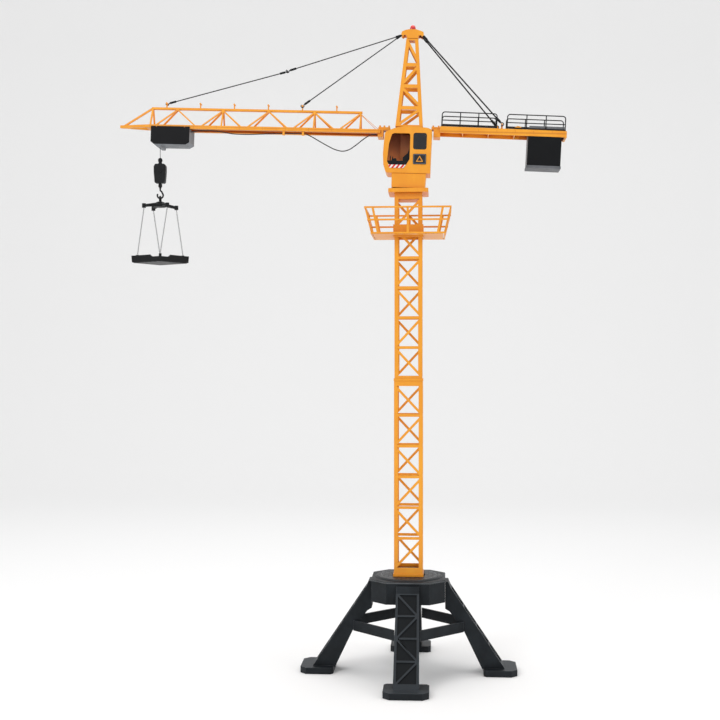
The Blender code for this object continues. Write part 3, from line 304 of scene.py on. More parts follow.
def orange_plastic(props, name):
    """Moulded orange plastic: faint flow streaks, a fine satin grain, paler edges that are partly wear and partly a
    painted highlight, and pockets and channels darkened with painted shade.
    """
    base = props.orange
    fin = Finish(name, IOR=1.48)
    flow = fin.noise(26.0, 3.0, 0.6, (1, 1, 0.35)).ramp(0.35, 0.72)
    fine = fin.noise(340.0, 2.0)
    dark = rgb([base[0] * 0.95, base[1] * 0.88, base[2] * 0.8])
    light = rgb([min(1.0, base[0] * 1.02), base[1] * 1.05, base[2] * 1.1])
    colour = fin.mixed(flow, dark, light)
    # Paler edges: partly wear, partly a painted highlight along every edge.
    pale_wear_and_highlight = rgb([min(1.0, base[0] * 1.06), base[1] * 1.2 + 0.02, base[2] * 1.4 + 0.02])
    colour = fin.mixed(fin.edges() * 0.4, colour, pale_wear_and_highlight)
    # Painted shade: pockets and channels darkened towards a deep red by the occlusion mask.
    deep = rgb([base[0] * 0.72, base[1] * 0.3, base[2] * 0.5])
    fin.colour(fin.mixed(fin.hollows(), colour, deep))
    fin.rough(0.30 + 0.12 * fine + 0.06 * flow)
    fin.grained(900.0, 0.00005, 0.35)
    return fin.mat


def black_plastic(name, base, rough=0.5, edge_wear_and_highlight=0.35, grain_depth=0.00009):
    """Dark moulded plastic: spark-eroded grain, cloudy tone, pockets darkened with painted shade, and greyer edges
    that are partly rubbed wear and partly a painted highlight.
    """
    fin = Finish(name, IOR=1.47, Specular_IOR_Level=0.15)
    cloud = fin.noise(34.0, 4.0, 0.6).ramp(0.3, 0.75)
    fine = fin.noise(420.0, 2.0)
    dark = rgb([c * 0.8 for c in base])
    light = rgb([c * 1.28 for c in base])
    colour = fin.mixed(cloud, dark, light)
    edge = fin.edges(0.0012)
    rub = fin.noise(90.0, 3.0).ramp(0.35, 0.65)
    # Painted shade: pockets darkened by the occlusion mask.
    colour = fin.mixed(fin.hollows(0.012) * 0.6, colour, rgb([c * 0.35 for c in base]))
    # Greyer edges: partly rubbed wear, partly a painted highlight.
    fin.colour(fin.mixed(edge * (0.4 + 0.6 * rub) * edge_wear_and_highlight, colour, rgb([c * 3.0 + 0.09 for c in base])))
    fin.rough(rough - 0.08 + 0.16 * fine - 0.08 * edge)
    fin.grained(1300.0, grain_depth, 0.5)
    return fin.mat


def railed_plastic(props, name, lines, ticks, spacing):
    """Orange plastic of a deep rail: thin grooves darkened with painted shade along the heights given, and upright
    seams at even steps.
    """
    mat = orange_plastic(props, name)
    fin = Finish.of(mat)
    x, y, z = fin.axes(turned=True)
    # Painted shade along each groove line.
    groove_shade = z.between(lines[0] - 0.0004, lines[0] + 0.0004, 0.0002)
    for line in lines[1:]:
        groove_shade = groove_shade.at_least(z.between(line - 0.0004, line + 0.0004, 0.0002))
    step = ((x - ticks) * (1.0 / spacing)).fraction() * spacing
    seam = step.between(0.0002, 0.0010, 0.0002) * z.between(lines[0], lines[-1] + 0.004, 0.0002)
    # The mask joins the grooves' painted shade with the darker seams.
    mask = groove_shade.at_least(seam * 0.7) * y.size().ramp(0.0192, 0.0196)
    fin.over(mask * 0.8, rgb([props.orange[0] * 0.52, props.orange[1] * 0.34, props.orange[2] * 0.6]))
    return mat


def leg_plastic(props, name):
    """The legs' plastic: floors in the pockets of each sloping face darkened with painted shade, and the ribs' faces
    between them made greyer with a painted highlight.
    """
    base = props.base_black
    mat = black_plastic(name, base, 0.44, 0.85, 0.00012)
    fin = Finish.of(mat)
    x, y, z = fin.axes()
    slope, up, face = LEG_FACE
    low, high = LEG_FACE_Z
    across, along = (x - MAST_X * MM).size(), y.size()
    out = across.at_least(along) * slope + z * up
    middle = 1.0 - across.at_most(along).ramp(LEG_POCKET_HALF, LEG_POCKET_HALF + 0.0003)
    # Painted shade: the pocket floors darkened.
    floor = out.between(face - 0.0034, face - 0.0012, 0.0002) * middle
    # Painted highlight: the ribs' outer faces made greyer.
    rib_highlight = out.ramp(face - 0.0005, face - 0.0002) * z.ramp(low, low + 0.0005) * (1.0 - z.ramp(high, high + 0.0005))
    fin.over(rib_highlight * 0.65, rgb([c * 2.3 + 0.014 for c in base]))
    fin.over(floor * 0.8, rgb([c * 0.4 for c in base]))
    return mat


def two_tone(name, face, body, depth, low):
    """A greyer moulding with black faces: black past a depth on either side, down to a height."""
    mat = black_plastic(name, body, 0.44, 0.3)
    fin = Finish.of(mat)
    x, y, z = fin.axes(turned=True)
    front = y.size().ramp(depth - 0.0002, depth + 0.0002) * z.ramp(low - 0.0003, low + 0.0003)
    fin.over(front * 0.99, rgb(face))
    return mat


def tread_plastic(name, base):
    """Dark plastic with a raised tread round the mast: crossed bars on a slanting grid, inside a ring."""
    fin = Finish(name, IOR=1.47, Specular_IOR_Level=0.4)
    x, y, z = fin.axes()
    x = x - MAST_X * MM
    u = ((x + y) * 62.0).fraction() - 0.5
    v = ((x - y) * 62.0).fraction() - 0.5
    bar = (1.0 - u.size().ramp(0.10, 0.2)) * (1.0 - v.size().ramp(0.3, 0.4))
    cross = (1.0 - v.size().ramp(0.10, 0.2)) * (1.0 - u.size().ramp(0.3, 0.4))
    radius = (x * x + y * y) ** 0.5
    ring = 1.0 - (radius - 0.051).size().ramp(0.0008, 0.0014)
    raised = bar.at_least(cross).at_least(ring) * (1.0 - radius.ramp(0.0575, 0.0585))
    worn = fin.noise(60.0, 3.0).ramp(0.35, 0.7)
    fin.colour(fin.mixed(raised * (0.35 + 0.5 * worn), rgb(base), rgb([c * 2.4 + 0.03 for c in base])))
    fin.rough(0.42 - 0.1 * raised + 0.1 * fin.noise(420.0, 2.0))
    relief = fin.bump(raised, 0.0009, 1.0, fin.soft_edges())
    fin.surface(fin.bump(fin.noise(1300.0, 2.0), 0.00007, 0.4, relief))
    return fin.mat


def gloss_black(name):
    """Polished black: nearly flat, with faint wiping marks in its gloss."""
    fin = Finish(name, IOR=1.5)
    smear = fin.noise(45.0, 4.0, 0.6, (1, 1, 3)).ramp(0.4, 0.75)
    fin.colour(fin.mixed(smear, rgb((0.009, 0.009, 0.011)), rgb((0.016, 0.016, 0.019))))
    fin.rough(0.07 + 0.1 * smear)
    fin.grained(20.0, 0.0001, 0.2)
    return fin.mat


def red_lens(name):
    """Clear red beacon: bright, glossy, deeper towards its foot."""
    fin = Finish(name, IOR=1.5, Roughness=0.16, Coat_Weight=0.6, Coat_Roughness=0.08)
    x, y, z = fin.axes()
    high = z.ramp(1.183, 1.1935)
    fin.colour(fin.mixed(high, rgb((0.42, 0.006, 0.01)), rgb((0.86, 0.05, 0.04))))
    fin.surface(fin.bump((z * 5200.0).wave(), 0.00008, 0.5))
    return fin.mat


def metal(name, base, rough=0.3, stretch=(1, 1, 30)):
    """Drawn metal: fine lines along one way, small dull patches."""
    fin = Finish(name, Metallic=1.0)
    lines = fin.noise(160.0, 3.0, 0.6, stretch)
    patch = fin.noise(70.0, 3.0).ramp(0.4, 0.7)
    fin.colour(fin.mixed(patch, rgb(base), rgb([c * 0.82 for c in base])))
    fin.rough(rough + 0.14 * lines + 0.08 * patch)
    fin.surface(fin.bump(lines, 0.00003, 0.5))
    return fin.mat


def nylon(name):
    """Off-white nylon: milky, faintly mottled."""
    fin = Finish(name, IOR=1.53)
    mottle = fin.noise(120.0, 3.0).ramp(0.35, 0.7)
    fin.colour(fin.mixed(mottle, rgb((0.74, 0.73, 0.68)), rgb((0.84, 0.83, 0.79))))
    fin.rough(0.38 + 0.1 * mottle)
    fin.grained(900.0, 0.00005, 0.4)
    return fin.mat


def cord_finish(name, base, strands, pitch):
    """Twisted or sheathed cord: colour and relief follow the piece's own run and turn coordinates, the colour lighter
    on the relief's crests as a painted highlight and darker in its grooves as painted shade.
    """
    fin = Finish(name, IOR=1.45)
    uv = fin.node("ShaderNodeUVMap", {"uv_map": "run"})
    split = fin.node("ShaderNodeSeparateXYZ", Vector=uv.outputs[0])
    around = Value(fin.tree, split.outputs[0])
    run = Value(fin.tree, split.outputs[1])
    twist = ((around * strands + run * (1.0 / pitch)) * (2 * math.pi)).wave() * 0.5 + 0.5
    fuzz = fin.noise(700.0, 2.0)
    low, high = rgb([c * 0.6 for c in base]), rgb([c * 1.5 + 0.01 for c in base])
    # Painted highlight on the twist's crests and painted shade in its grooves.
    fin.colour(fin.mixed(twist * (0.5 + 0.5 * fuzz), low, high))
    fin.rough(0.5 + 0.2 * fuzz)
    fin.surface(fin.bump(twist, 0.00015, 0.6))
    return fin.mat


def shaded_brown(fin, x, z):
    """The cab's inside, orange plastic painted as it looks in shade: deep reddish brown at the top under the roof and
    at its middle, redder orange low down.
    """
    # Painted shade: darker brown high up, under the roof.
    deep = fin.mixed(z.ramp(*SHADE_Z), rgb((0.62, 0.18, 0.022)), rgb((0.24, 0.062, 0.020)))
    # Painted shade, deeper from the front end to the middle and behind it.
    return fin.mixed(x.ramp(-0.035, 0.0) * 0.4, deep, rgb((0.26, 0.075, 0.020)))


def cab_plastic(props, name):
    """The cab's two halves: orange outside, and the brown of painted shade on every face behind the outer walls."""
    mat = orange_plastic(props, name)
    fin = Finish.of(mat)
    x, y, z = fin.axes(turned=True)
    inside = 1.0 - y.size().ramp(CAB_ROOM_Y, CAB_ROOM_Y + 0.0006)
    inside = inside * x.between(*CAB_ROOM_X, 0.0006) * z.between(*CAB_ROOM_Z, 0.0006)
    # Painted shade: the inside faces take the shaded brown in place of orange.
    fin.over(inside, shaded_brown(fin, x, z))
    return mat


def inner_wall_shade(name):
    """The cab's inner wall behind its opening, orange plastic painted as the brown it shows in shade, slightly uneven
    in tone.
    """
    fin = Finish(name, IOR=1.47)
    tone = fin.noise(40.0, 3.0).ramp(0.3, 0.7)
    x, y, z = fin.axes(turned=True)
    # Painted shade over the whole wall, with a random uneven tone.
    fin.colour(fin.mixed(tone * 0.2, shaded_brown(fin, x, z), rgb((0.20, 0.058, 0.016))))
    fin.rough(0.5 + 0.1 * tone)
    fin.grained(900.0, 0.00005, 0.4)
    return fin.mat


def striped(name):
    """Red and white diagonal hazard bands."""
    fin = Finish(name, IOR=1.48, Roughness=0.32)
    x, y, z = fin.axes()
    band = ((x - z * 0.8) * (1000.0 / 8.2) + 0.1).fraction()
    edge = fin.noise(500.0, 2.0) * 0.04
    red = (band + edge) > 0.5
    white = rgb((0.82, 0.78, 0.74))
    colour = fin.mixed(red, white, rgb((0.62, 0.02, 0.02)))
    dirt = fin.noise(130.0, 3.0).ramp(0.5, 0.8)
    fin.colour(fin.mixed(dirt * 0.15, colour, rgb((0.3, 0.2, 0.15))))
    fin.grained(900.0, 0.00004, 0.4, rounded=False)
    return fin.mat


def sign_ink(name, base):
    """Printed film on the sign: flat ink with a slightly uneven gloss."""
    fin = Finish(name, IOR=1.48)
    tone = fin.noise(260.0, 3.0).ramp(0.3, 0.7)
    fin.colour(fin.mixed(tone, rgb([c * 0.88 for c in base]), rgb(base)))
    fin.rough(0.3 + 0.12 * tone)
    fin.surface(fin.bump(tone, 0.00002, 0.5))
    return fin.mat


def floor_finish(props, name):
    """Plain matt paper."""
    return Finish(name, Roughness=0.9, Base_Color=rgb(props.paper)).mat


# ------------------------------------------------------------------ surfaces


def mesh_piece(name, verts, faces, mat, smooth=True):
    mesh = bpy.data.meshes.new(name)
    mesh.from_pydata(np.asarray(verts, float).reshape(-1, 3).tolist(), [], [list(f) for f in faces])
    mesh.validate()
    if smooth:
        mesh.shade_smooth()
    mesh.materials.append(mat)
    obj = bpy.data.objects.new(name, mesh)
    bpy.context.scene.collection.objects.link(obj)
    return obj


def grid_faces(rows, columns, wrap_columns=False, wrap_rows=False, start=0):
    """Quads of a rows x columns grid of points, row by row; each wrap closes the grid on itself."""
    r = np.arange(rows if wrap_rows else rows - 1)
    c = np.arange(columns if wrap_columns else columns - 1)
    rr, cc = np.meshgrid(r, c, indexing="ij")
    nr, nc = (rr + 1) % rows, (cc + 1) % columns
    quads = np.stack([rr * columns + cc, rr * columns + nc, nr * columns + nc, nr * columns + cc], axis=-1)
    return (quads.reshape(-1, 4) + start).tolist()


def frames_along(path):
    """A tangent and two steady side directions at each point of a path that keeps near one upright plane."""
    step = np.gradient(path, axis=0)
    tangent = step / np.linalg.norm(step, axis=1, keepdims=True)
    side = np.cross(tangent, np.array([0.0, 1.0, 0.0]))
    side = side / np.linalg.norm(side, axis=1, keepdims=True)
    return tangent, side, np.cross(tangent, side)


def swept(name, path, radius, mat, around=12, strands=0, depth=0.0, pitch=1.0):
    """A cord: rings of points square to the path, at r(a) = radius - depth * (1 - |cos(strands * a / 2 + twist)|)."""
    path = np.asarray(path, float)
    rows = len(path)
    run = np.concatenate([[0.0], np.cumsum(np.linalg.norm(np.diff(path, axis=0), axis=1))])
    _, side, up = frames_along(path)
    angle = np.linspace(0, 2 * math.pi, around, endpoint=False)
    reach = np.full((rows, around), radius)
    if strands:
        twist = 2 * math.pi * run / pitch
        reach = radius - depth * (1 - np.abs(np.cos(strands * angle[None, :] / 2 + twist[:, None])))
    c, s = np.cos(angle)[None, :, None], np.sin(angle)[None, :, None]
    verts = (path[:, None] + reach[..., None] * (c * side[:, None] + s * up[:, None])).reshape(-1, 3)
    faces = grid_faces(rows, around, wrap_columns=True)
    faces.append(list(range(around))[::-1])
    faces.append(list(range((rows - 1) * around, rows * around)))
    obj = mesh_piece(name, verts, faces, mat)
    layer = obj.data.uv_layers.new(name="run")
    index = np.zeros(len(obj.data.loops), np.int32)
    obj.data.loops.foreach_get("vertex_index", index)
    uv = np.stack([(index % around) / around, run[np.minimum(index // around, rows - 1)]], axis=-1)
    layer.data.foreach_set("uv", uv.astype(np.float32).ravel())
    return obj


def smooth_path(points, count):
    """A Catmull-Rom curve through the points, sampled evenly by length."""
    p = np.asarray(points, float)
    p = np.vstack([2 * p[0] - p[1], p, 2 * p[-1] - p[-2]])
    t = np.linspace(0, 1, 24, endpoint=False)[:, None, None]
    a, b, c, d = p[:-3], p[1:-2], p[2:-1], p[3:]
    curve = 0.5 * (2 * b + (c - a) * t + (2 * a - 5 * b + 4 * c - d) * t**2 + (3 * b - a - 3 * c + d) * t**3)
    curve = np.vstack([curve.transpose(1, 0, 2).reshape(-1, 3), p[-2]])
    run = np.concatenate([[0.0], np.cumsum(np.linalg.norm(np.diff(curve, axis=0), axis=1))])
    want = np.linspace(0, run[-1], count)
    return np.stack([np.interp(want, run, curve[:, i]) for i in range(3)], axis=-1)


def slab(outline, back, front, bevel):
    """A flat outline's two faces and rounded rim: rings of the outline, pulled in by the bevel at each face."""
    loop = np.asarray(outline, float)
    centre = loop.mean(axis=0)
    away = loop - centre
    away = away / np.linalg.norm(away, axis=1, keepdims=True)
    sign = 1.0 if front > back else -1.0
    depth = [back, back, front - sign * bevel, front - sign * 0.3 * bevel, front]
    pull = [bevel, 0.0, 0.0, 0.3 * bevel, bevel]
    rings = [np.column_stack([loop[:, 0] - away[:, 0] * d, np.full(len(loop), y), loop[:, 1] - away[:, 1] * d])
             for y, d in zip(depth, pull)]
    verts = np.vstack(rings)
    n = len(loop)
    faces = grid_faces(len(rings), n, wrap_columns=True)
    faces.append(list(range(n))[::-1])
    faces.append(list(range((len(rings) - 1) * n, len(rings) * n)))
    return verts, faces


def rounded_loop(x, z, radius, steps=5):
    """A rectangle's outline with round corners, counter-clockwise."""
    quarter = np.radians(np.linspace(0, 90, steps))
    loop = []
    for cx, cz, start in ((x[1], z[0], -90), (x[1], z[1], 0), (x[0], z[1], 90), (x[0], z[0], 180)):
        px = cx - radius if cx == x[1] else cx + radius
        pz = cz + radius if cz == z[0] else cz - radius
        a = quarter + math.radians(start)
        loop.append(np.column_stack([px + radius * np.cos(a), pz + radius * np.sin(a)]))
    return np.vstack(loop)


def outward(obj):
    """Turns a closed piece's faces outwards."""
    bm = bmesh.new()
    bm.from_mesh(obj.data)
    bmesh.ops.recalc_face_normals(bm, faces=bm.faces)
    bm.to_mesh(obj.data)
    bm.free()
    return obj


def slab_piece(name, outline, back, front, mat, bevel):
    verts, faces = slab(outline, back, front, bevel)
    return outward(mesh_piece(name, leaned(verts), faces, mat, smooth=False))


# ------------------------------------------------------------------ settings


class CraneLook(bpy.types.PropertyGroup):
    orange: bpy.props.FloatVectorProperty(
        name="Orange", description="Colour of the orange plastic", subtype="COLOR", size=3,
        default=(0.83, 0.338, 0.016),
    )
    base_black: bpy.props.FloatVectorProperty(
        name="Base black", description="Colour of the legs and hub", subtype="COLOR", size=3,
        default=(0.0125, 0.0155, 0.0185),
    )
    fitting_black: bpy.props.FloatVectorProperty(
        name="Fitting black", description="Colour of hook, load, railings and boxes", subtype="COLOR", size=3,
        default=(0.010, 0.011, 0.012),
    )
    paper: bpy.props.FloatVectorProperty(
        name="Floor", description="Colour of the floor and backdrop", subtype="COLOR", size=3,
        default=(0.93, 0.93, 0.93),
    )


class CraneLines(bpy.types.PropertyGroup):
    line_diameter: bpy.props.FloatProperty(
        name="Hoist line", description="Diameter of the twisted hoist line", unit="LENGTH", default=0.0011
    )
    cable_diameter: bpy.props.FloatProperty(
        name="Trolley cable", description="Diameter of the trolley's sheathed cable", unit="LENGTH", default=0.0019
    )
    link_wire: bpy.props.FloatProperty(
        name="Chain wire", description="Diameter of a chain link's wire", unit="LENGTH", default=0.00062
    )
    link_pitch: bpy.props.FloatProperty(
        name="Chain pitch", description="Spacing of the chain links", unit="LENGTH", default=0.0026
    )


class CraneStage(bpy.types.PropertyGroup):
    lens: bpy.props.FloatProperty(name="Lens", description="Focal length in millimetres", default=59.75)
    distance: bpy.props.FloatProperty(
        name="Distance", description="Camera to mast", unit="LENGTH", default=2.211
    )
    height: bpy.props.FloatProperty(
        name="Height", description="Camera's height over the floor", unit="LENGTH", default=0.5738
    )
    offset: bpy.props.FloatProperty(
        name="Offset", description="How far the mast stands right of the view's centre", unit="LENGTH", default=0.0901
    )
    turn: bpy.props.FloatProperty(
        name="Turn", description="Camera's turn about the mast", subtype="ANGLE", default=math.radians(3.9)
    )


def look():
    return bpy.context.scene.crane_look


def paint(names, mat):
    for name in names:
        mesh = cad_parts[name].data
        mesh.materials.clear()
        mesh.materials.append(mat)


# ------------------------------------------------------------------ operators


class CRANE_OT_stage(bpy.types.Operator):
    """Camera, lights, floor and backdrop"""

    bl_idname = "crane.stage"
    bl_label = "Stage"

    def execute(self, context):
        props = context.scene.crane_stage
        c, s = math.cos(props.turn), math.sin(props.turn)
        camera = bpy.data.objects.new("camera", bpy.data.cameras.new("camera"))
        context.scene.collection.objects.link(camera)
        camera.data.lens = props.lens
        camera.data.clip_end = 30.0
        x = MAST_X * MM + props.distance * s - props.offset * c
        y = -props.distance * c - props.offset * s
        camera.location = (x, y, props.height)
        camera.rotation_euler = Euler((math.radians(90), 0, props.turn))
        context.scene.camera = camera
        context.scene.view_settings.view_transform = "Standard"
        self.paper(context)
        self.lights(context)
        return {"FINISHED"}

    def paper(self, context):
        """Floor and backdrop: one sheet, flat and then curving up: height = 1 - cos of the turn along its length."""
        u = np.linspace(-6.0, 6.0, 9)
        bend = np.radians(np.linspace(0, 90, 13))
        run = np.concatenate([[-5.0, 2.6], 2.6 + 1.6 * np.sin(bend[1:]), [4.2]])
        rise = np.concatenate([[0.0, 0.0], 1.6 * (1 - np.cos(bend[1:])), [6.5]])
        gx, gy = np.meshgrid(u, run)
        gz = np.repeat(rise[:, None], len(u), axis=1)
        verts = np.stack([gx, gy, gz - 0.0002], axis=-1)
        sheet = mesh_piece("paper_sweep", verts, grid_faces(len(run), len(u)), floor_finish(look(), "paper"))

    def lights(self, context):
        world = context.scene.world or bpy.data.worlds.new("studio")
        context.scene.world = world
        world.use_nodes = True
        world.node_tree.nodes["Background"].inputs[0].default_value = (1.0, 1.0, 1.0, 1.0)
        world.node_tree.nodes["Background"].inputs[1].default_value = 0.78
        spots = (
            ("key", (-1.6, -2.4, 2.4), 1.2, 30.0),
            ("fill", (2.6, -1.4, 1.0), 1.4, 12.0),
            ("top", (0.1, 0.5, 3.0), 1.6, 22.0),
        )
        for name, at, size, power in spots:
            light = bpy.data.lights.new(name, "AREA")
            light.size = size
            light.energy = power
            lamp = bpy.data.objects.new(name, light)
            context.scene.collection.objects.link(lamp)
            lamp.location = at
            aim = np.array([0.0, 0.0, 0.65]) - np.array(at)
            lamp.rotation_euler = Euler((
                math.atan2(math.hypot(aim[0], aim[1]), -aim[2]), 0, math.atan2(aim[1], aim[0]) - math.pi / 2
            ))


class CRANE_OT_lines(bpy.types.Operator):
    """Hoist line and trolley cable"""

    bl_idname = "crane.lines"
    bl_label = "Lines"

    def execute(self, context):
        props = context.scene.crane_lines
        low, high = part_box("hoist_line")
        x = (low.x + high.x) / 2
        path = np.column_stack([np.full(60, x), np.zeros(60), np.linspace(high.z, low.z - 0.0006, 60)])
        twisted = cord_finish("hoist line", (0.03, 0.03, 0.032), 1.0, 0.0016)
        line = swept("twisted_hoist_line", path, props.line_diameter / 2, twisted, 9, 3, 0.00012, 0.006)
        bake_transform(line)
        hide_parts("hoist_line")
        self.cable(props)
        return {"FINISHED"}

    def cable(self, props):
        """The trolley's cable: out of the trolley, along the jib in two clips, then one loop down and up again."""
        path = leaned([(x, CABLE_Y, z) for x, z in CABLE_PATH])
        sheath = cord_finish("cable sheath", (0.016, 0.016, 0.018), 0.0, 0.004)
        cable = swept("sheathed_trolley_cable", smooth_path(path, 220), props.cable_diameter / 2, sheath, 12)
        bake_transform(cable)
        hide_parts("trolley_cable")


class CRANE_OT_chains(bpy.types.Operator):
    """Four chains of small oval links"""

    bl_idname = "crane.chains"
    bl_label = "Chains"

    def execute(self, context):
        props = context.scene.crane_lines
        finish = metal("chain steel", (0.16, 0.16, 0.17), 0.32, (1, 1, 1))
        for index, word in enumerate(("right", "back", "left", "front")):
            top = self.end(CHAIN_TOP, SPREADER_TURN + 90 * index)
            foot = self.end(CHAIN_FOOT, PALLET_TURN + 90 * index)
            chain = self.chain("link_chain_" + word, foot, top, props, finish)
            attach(chain, "load")
            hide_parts("chain_" + word)
        return {"FINISHED"}

    def end(self, place, turn):
        """Where a chain ends: at a distance from the hoist line, in the direction of turn, and at a height."""
        out, height = place
        a = math.radians(turn)
        return level((LINE_X + out * math.cos(a), out * math.sin(a), height))

    def chain(self, name, foot, top, props, finish):
        """Oval links along a line, each a quarter turn on from the last: an ellipse with a round section."""
        way = top - foot
        length = np.linalg.norm(way)
        way = way / length
        side = np.cross(way, [0.0, 1.0, 0.1])
        side = side / np.linalg.norm(side)
        other = np.cross(way, side)
        count = int(length / props.link_pitch)
        around = np.linspace(0, 2 * math.pi, LINK_AROUND, endpoint=False)
        tube = np.linspace(0, 2 * math.pi, LINK_TUBE, endpoint=False)
        a, t = np.meshgrid(around, tube, indexing="ij")
        half = props.link_pitch * 0.62
        width = props.link_pitch * 0.36
        wire = props.link_wire / 2
        along = (half + wire * np.cos(t)) * np.cos(a)
        across = (width + wire * np.cos(t)) * np.sin(a)
        out = wire * np.sin(t)
        links = np.arange(count)
        centre = foot + way * ((links + 0.5) * length / count)[:, None]
        u = (links % 2)[:, None, None, None]
        flat = (1 - u) * side + u * other
        deep = (1 - u) * other - u * side
        along, across, out = (part[None, ..., None] for part in (along, across, out))
        verts = centre[:, None, None] + along * way + across * flat + out * deep
        faces = []
        for link in range(count):
            faces += grid_faces(LINK_AROUND, LINK_TUBE, True, True, link * LINK_AROUND * LINK_TUBE)
        return outward(mesh_piece(name, verts, faces, finish))


class CRANE_OT_finishes(bpy.types.Operator):
    """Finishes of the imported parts"""

    bl_idname = "crane.finishes"
    bl_label = "Finishes"

    def execute(self, context):
        props = look()
        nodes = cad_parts
        orange = orange_plastic(props, "orange plastic")
        paint([n for n in nodes if n in (
            "mast_lower", "mast_upper", "service_platform", "platform_railing", "slew_collar", "turret_neck",
            "tower_peak", "peak_head")], orange)
        paint(["jib"], railed_plastic(props, "jib plastic", (0.9888, 0.9928), -0.3602, 0.0430))
        paint(["counter_jib"], railed_plastic(props, "deck plastic", (0.9938, 0.9952), 0.0570, 0.0334))
        paint(["cab_near_half", "cab_far_half"], cab_plastic(props, "cab plastic"))
        paint(["cab_inner_wall"], inner_wall_shade("cab inner wall shade"))
        base = black_plastic("base plastic", props.base_black, 0.44, 0.85, 0.00012)
        paint([n for n in nodes if n.startswith("brace_") or n == "base_hub"], base)
        paint([n for n in nodes if n.startswith("leg_")], leg_plastic(props, "leg plastic"))
        paint(["hub_top_disc"], tread_plastic("tread plastic", props.base_black))
        fitting = black_plastic("fitting plastic", props.fitting_black, 0.42, 0.3)
        paint([n for n in nodes if n.startswith(("railing_", "jib_stay", "counter_stay"))], fitting)
        paint(["hook_block", "hook", "spreader", "pallet", "console_and_seat"], fitting)
        trolley = two_tone("trolley plastic", (0.004, 0.004, 0.005), (0.17, 0.18, 0.195), 0.0216, 0.9592)
        paint(["trolley_near_half", "trolley_far_half"], trolley)
        case = two_tone("case plastic", (0.004, 0.0045, 0.0055), (0.15, 0.155, 0.165), 0.0199, 0.9)
        paint(["counterweight_case"], case)
        paint(["battery_cover"], black_plastic("cover plastic", (0.12, 0.125, 0.135), 0.5, 0.25))
        gloss = gloss_black("gloss black")
        paint(["window_near", "window_far", "warning_sign"], gloss)
        paint(["beacon"], red_lens("beacon red"))
        paint(["slew_motor", "winch_motor"], metal("motor steel", (0.6, 0.6, 0.62)))
        paint(["battery_cell_1", "battery_cell_2"], metal("cell wrap", (0.7, 0.5, 0.2), 0.35))
        paint(["slew_ring_gear", "slew_pinion", "winch_drum", "wheelset_outer", "wheelset_inner"], nylon("nylon"))
        return {"FINISHED"}


class CRANE_OT_cab(bpy.types.Operator):
    """Hazard stripe, and the sign's border and plain triangle"""

    bl_idname = "crane.cab"
    bl_label = "Cab details"

    def execute(self, context):
        stripe = slab_piece("hazard_stripe", [(-36.0, 924.2), (-10.4, 924.2), (-5.6, 930.2), (-38.4, 930.2)],
                            -28.4, -29.1, striped("hazard bands"), 0.2)
        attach(stripe, "turret")
        self.sign()
        return {"FINISHED"}

    def sign(self):
        """A bordered plate with a plain rounded triangle: each is a thin raised outline."""
        rim = sign_ink("sign rim", (0.10, 0.13, 0.17))
        ink = sign_ink("sign triangle", (0.85, 0.33, 0.02))
        outer = rounded_loop((8.0, 29.9), (932.7, 949.5), 1.2)
        inner = rounded_loop((8.9, 29.0), (933.6, 948.6), 0.9)
        border = self.ring("sign_border", outer, inner, rim)
        triangle = self.ring("sign_triangle", self.triangle(7.6), self.triangle(4.9), ink)
        for piece in (border, triangle):
            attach(piece, "turret")

    def triangle(self, reach):
        """A triangle with each corner rounded by an arc, its arcs' centres 1 mm inside its reach."""
        x, z = SIGN_CENTRE
        loop = []
        for k in range(3):
            corner = math.radians(90 + 120 * k)
            cx, cz = x + (reach - 1.0) * math.cos(corner), z + (reach - 1.0) * math.sin(corner)
            a = corner + np.radians(np.linspace(-60, 60, 5))
            loop.append(np.column_stack([cx + 0.5 * np.cos(a), cz + 0.5 * np.sin(a)]))
        return np.vstack(loop)

    def ring(self, name, outer, inner, mat):
        """A thin band between two like outlines, closed: four rings of points joined round."""
        n = len(outer)
        corners = ((outer, SIGN_BACK), (outer, SIGN_FRONT), (inner, SIGN_FRONT), (inner, SIGN_BACK))
        rings = [np.column_stack([loop[:, 0], np.full(n, y), loop[:, 1]]) for loop, y in corners]
        verts = leaned(np.vstack(rings))
        return outward(mesh_piece(name, verts, grid_faces(4, n, True, True), mat, smooth=False))


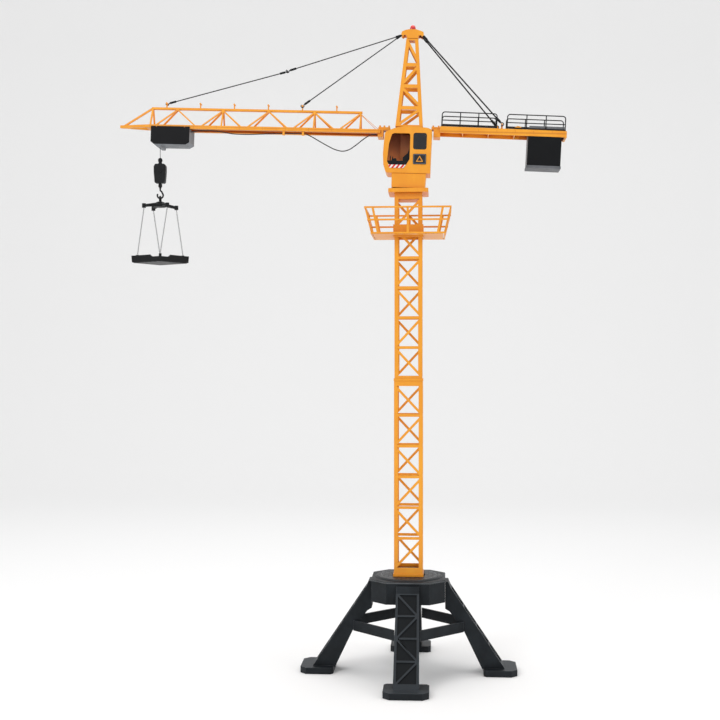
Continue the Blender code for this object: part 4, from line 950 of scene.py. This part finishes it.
class CRANE_OT_fittings(bpy.types.Operator):
    """Rim round the top of the hub, in a lighter grey that paints the highlight on the hub's top edge, and screw
    heads on the far side
    """

    bl_idname = "crane.fittings"
    bl_label = "Fittings"

    def execute(self, context):
        # Lighter grey band round the hub's top edge: a painted highlight on its chamfer.
        worn = black_plastic("hub rim highlight plastic", (0.075, 0.08, 0.085), 0.36, 0.6)
        side, wide = HUB_TOP
        hub = [(side, -wide), (wide, -side), (wide, side), (side, wide)]
        hub += [(-x, -y) for x, y in hub]
        lip = self.band("hub_top_rim", hub, (-1.3, 0.25, 0.25, -1.3), (174.3, 173.5, 171.6, 171.6), worn)
        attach(lip, "base")
        steel = metal("screw steel", (0.35, 0.35, 0.37), 0.35, (1, 1, 1))
        trolley = [self.screw((x, 22.3, z), 1.9) for x, z in TROLLEY_SCREWS]
        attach(self.joined("trolley_screws", trolley, steel), "trolley")
        cab = [self.screw((x, 28.5, z), 2.1) for x, z in CAB_SCREWS]
        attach(self.joined("cab_screws", cab, steel), "turret")
        return {"FINISHED"}

    def band(self, name, loop, out, heights, mat):
        """A level closed band: a ring for each height, the loop's corners moved out from the mast by each amount."""
        loop = np.asarray(loop, float)
        away = loop / np.linalg.norm(loop, axis=1, keepdims=True)
        rings = [np.column_stack([loop + away * o, np.full(len(loop), h)]) for o, h in zip(out, heights)]
        verts = level(np.vstack(rings) + np.array([MAST_X, 0.0, 0.0]))
        return outward(mesh_piece(name, verts, grid_faces(len(rings), len(loop), True, True), mat, smooth=False))

    def screw(self, centre, radius):
        """A pan head facing +Y with a cross slot: height = dome(r), and flat where either side distance is small."""
        r = np.array([0.0, 0.25, 0.5, 0.72, 0.9, 1.0, 1.0]) * radius
        a = np.linspace(0, 2 * math.pi, 24, endpoint=False)
        rr, aa = np.meshgrid(r, a, indexing="ij")
        u, v = rr * np.cos(aa), rr * np.sin(aa)
        high = 0.55 * np.sqrt(np.clip(1.02 - (rr / radius) ** 2, 0, None)) + 0.1
        slot = ((np.abs(u) < 0.24 * radius) | (np.abs(v) < 0.24 * radius)) & (rr < 0.7 * radius)
        high = np.where(slot, 0.12, high)
        high[-1] = -0.4
        points = np.stack([centre[0] + u, centre[1] + high, centre[2] + v], axis=-1)
        faces = grid_faces(len(r), len(a), wrap_columns=True)
        faces.append(list(range((len(r) - 1) * len(a), len(r) * len(a))))
        return leaned(points.reshape(-1, 3)), faces

    def joined(self, name, parts, mat):
        """Several closed patches as one piece."""
        verts, faces, start = [], [], 0
        for points, quads in parts:
            verts.append(points)
            faces += [[i + start for i in face] for face in quads]
            start += len(points)
        obj = mesh_piece(name, np.vstack(verts), faces, mat, smooth=False)
        bm = bmesh.new()
        bm.from_mesh(obj.data)
        bmesh.ops.remove_doubles(bm, verts=bm.verts, dist=1e-7)
        bmesh.ops.recalc_face_normals(bm, faces=bm.faces)
        bm.to_mesh(obj.data)
        bm.free()
        return obj


class CRANE_PT_panel(bpy.types.Panel):
    """The crane's operators, in building order"""

    bl_label = "Toy Tower Crane"
    bl_idname = "CRANE_PT_panel"
    bl_space_type = "VIEW_3D"
    bl_region_type = "UI"
    bl_category = "Crane"

    def draw(self, context):
        for group in ("crane_look", "crane_lines", "crane_stage"):
            column = self.layout.column(heading=group)
            settings = getattr(context.scene, group)
            for key in settings.__annotations__:
                column.prop(settings, key)
        for name in STEPS:
            self.layout.operator("crane." + name)


CLASSES = (
    CraneLook, CraneLines, CraneStage, CRANE_OT_stage, CRANE_OT_lines, CRANE_OT_chains, CRANE_OT_finishes,
    CRANE_OT_cab, CRANE_OT_fittings, CRANE_PT_panel,
)
STEPS = ("stage", "lines", "chains", "finishes", "cab", "fittings")
GROUPS = {"crane_look": CraneLook, "crane_lines": CraneLines, "crane_stage": CraneStage}


def register():
    for cls in CLASSES:
        bpy.utils.register_class(cls)
    for name, group in GROUPS.items():
        setattr(bpy.types.Scene, name, bpy.props.PointerProperty(type=group))


def unregister():
    for name in GROUPS:
        delattr(bpy.types.Scene, name)
    for cls in reversed(CLASSES):
        bpy.utils.unregister_class(cls)


def main():
    register()
    for name in STEPS:
        getattr(bpy.ops.crane, name)()


if __name__ == "__main__":
    main()
